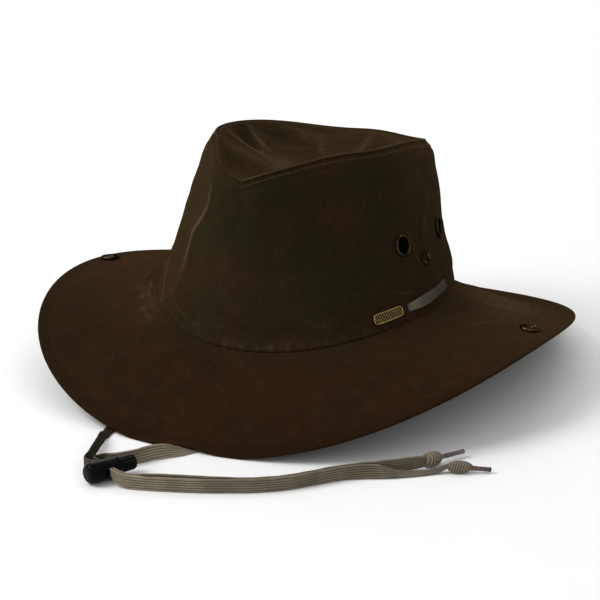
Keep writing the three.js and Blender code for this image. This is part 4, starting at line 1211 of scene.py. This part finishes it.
front = 0.0011 + 0.00020 * border - 0.00018 * field + 0.00012 * lines - 0.0003 * hump(to_edge, 0.0002)
base, normal = crown_plain(turn, rise), crown_normal(turn, rise)
rings = np.concatenate([base + normal * front[..., None], (base + normal * 0.0004)[:, ::-1]], 1)
dark_field = np.concatenate([field * (0.99 - 0.42 * lines), 0 * field], 1)
plate = skin("brass_plate", rings[::-1], np.linspace(0, plate_length, len(rings)),
             paints={"field": dark_field[::-1]})
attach(plate, "hat")
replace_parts(plate, "badge_plate")
look = Look("plate brass")
haze = look.noise(300, 3)
shine = look.mix(haze.between(0.4, 0.7) * 0.5, (0.52, 0.375, 0.13), (0.25, 0.175, 0.06))
shine = look.mix(look.paint("field").between(0.3, 0.95), shine, (0.012, 0.009, 0.006))
plate.data.materials.append(look.finish(base_color=shine, metallic=1.0,
                                        roughness=haze.between(0.3, 0.7, 0.3, 0.5),
                                        specular_tint=(0.35, 0.26, 0.12)))


# The lace is threaded through the crown: outside between the slits on each side, and inside
# round the back of the head. The slits hold it snug, so it lies flat and slightly narrowed.
outside_stand = 0.0003 + lace_thickness / 2
inside_stand = -(wall_thickness + 0.00065 + lace_thickness / 2)
half_lace = [
    # turn, distance from the wall's outer face, bunch
    (66.8, inside_stand, 0.7), (68.6, inside_stand + 0.0003, 0.62), (71.2, outside_stand - 0.0003, 0.62),
    (73.0, outside_stand + 0.0003, 0.72), (77.5, outside_stand + 0.0003, 0.78),
    (82.0, outside_stand + 0.0002, 0.74), (87.0, outside_stand + 0.0002, 0.73),
    (91.5, outside_stand, 0.72), (93.7, outside_stand, 0.72), (95.5, outside_stand - 0.0003, 0.63),
    (98.1, inside_stand + 0.0003, 0.63), (99.9, inside_stand, 1), (107, inside_stand, 1),
    (117, inside_stand, 1), (127, inside_stand, 1), (138, inside_stand, 1), (149, inside_stand, 1),
    (160, inside_stand, 1), (170, inside_stand, 1),
]
other_half = [(360 - turn, out, bunch) for turn, out, bunch in half_lace[::-1]]
rows = [*half_lace, (180, inside_stand, 1), *other_half]
lace_turns, stands, _ = np.array(rows).T
stations, _ = crown_cloth(lace_turns, lace_rise)
crown_line = smooth_line(stations + crown_normal(lace_turns, lace_rise) * stands[:, None], steps=12)
fine_turns, _, bunch = fine_rows(rows, len(crown_line)).T
wide = crown_plain(fine_turns, lace_rise + 0.02) - crown_plain(fine_turns, lace_rise - 0.02)
# The crown lace is painted lighter where it bends into the front slits, a painted highlight, and darker
# towards the back.
shade = np.interp(fine_turns, [66, 72, 76, 84, 95, 180, 260, 290],
                  [0.4, 0.5, 0.78, 0.88, 0.95, 0.9, 0.99, 0.99])
crown_lace = lace("crown_lace", crown_line, wide, bunch, shade, relief=0.12)
crown_lace.data.materials.append(lace_material)
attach(crown_lace, "hat")
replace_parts(crown_lace, "crown_cord")


# A pale floor and soft studio light: a broad light over the camera's left shoulder, weaker
# ones from the right and from behind, and an even white surround.
half_floor = 3.0
floor_corners = [(x * half_floor, y * half_floor, 0) for x, y in ((-1, -1), (1, -1), (1, 1), (-1, 1))]
floor = mesh_of("floor", floor_corners, [(0, 1, 2, 3)])
look = Look("pale floor")
speckle = look.noise(40, 2)
floor.data.materials.append(look.finish(
    base_color=look.mix(speckle, (0.86, 0.86, 0.86), (0.88, 0.88, 0.88)), roughness=0.9,
    specular_ior_level=0.1))


def softbox(name, place, size, power):
    lamp = bpy.data.lights.new(name, "AREA")
    lamp.shape = "SQUARE"
    lamp.size = size
    lamp.energy = power
    made = add(name, lamp)
    made.location = place
    made.rotation_mode = "QUATERNION"
    made.rotation_quaternion = (-Vector(place)).to_track_quat("-Z", "Y")


softbox("softbox_left", (-1.1, -0.9, 1.4), 1.0, 25)
softbox("softbox_right", (1.4, -0.9, 1.2), 1.4, 2)
softbox("softbox_behind", (-0.6, 1.6, 1.3), 1.8, 12)
world = bpy.data.worlds.new("studio")
bpy.context.scene.world = world
world.use_nodes = True
surround = world.node_tree.nodes["Background"].inputs
surround["Color"].default_value = (1, 1, 1, 1)
surround["Strength"].default_value = 0.65
bpy.context.scene.view_settings.view_transform = "Standard"
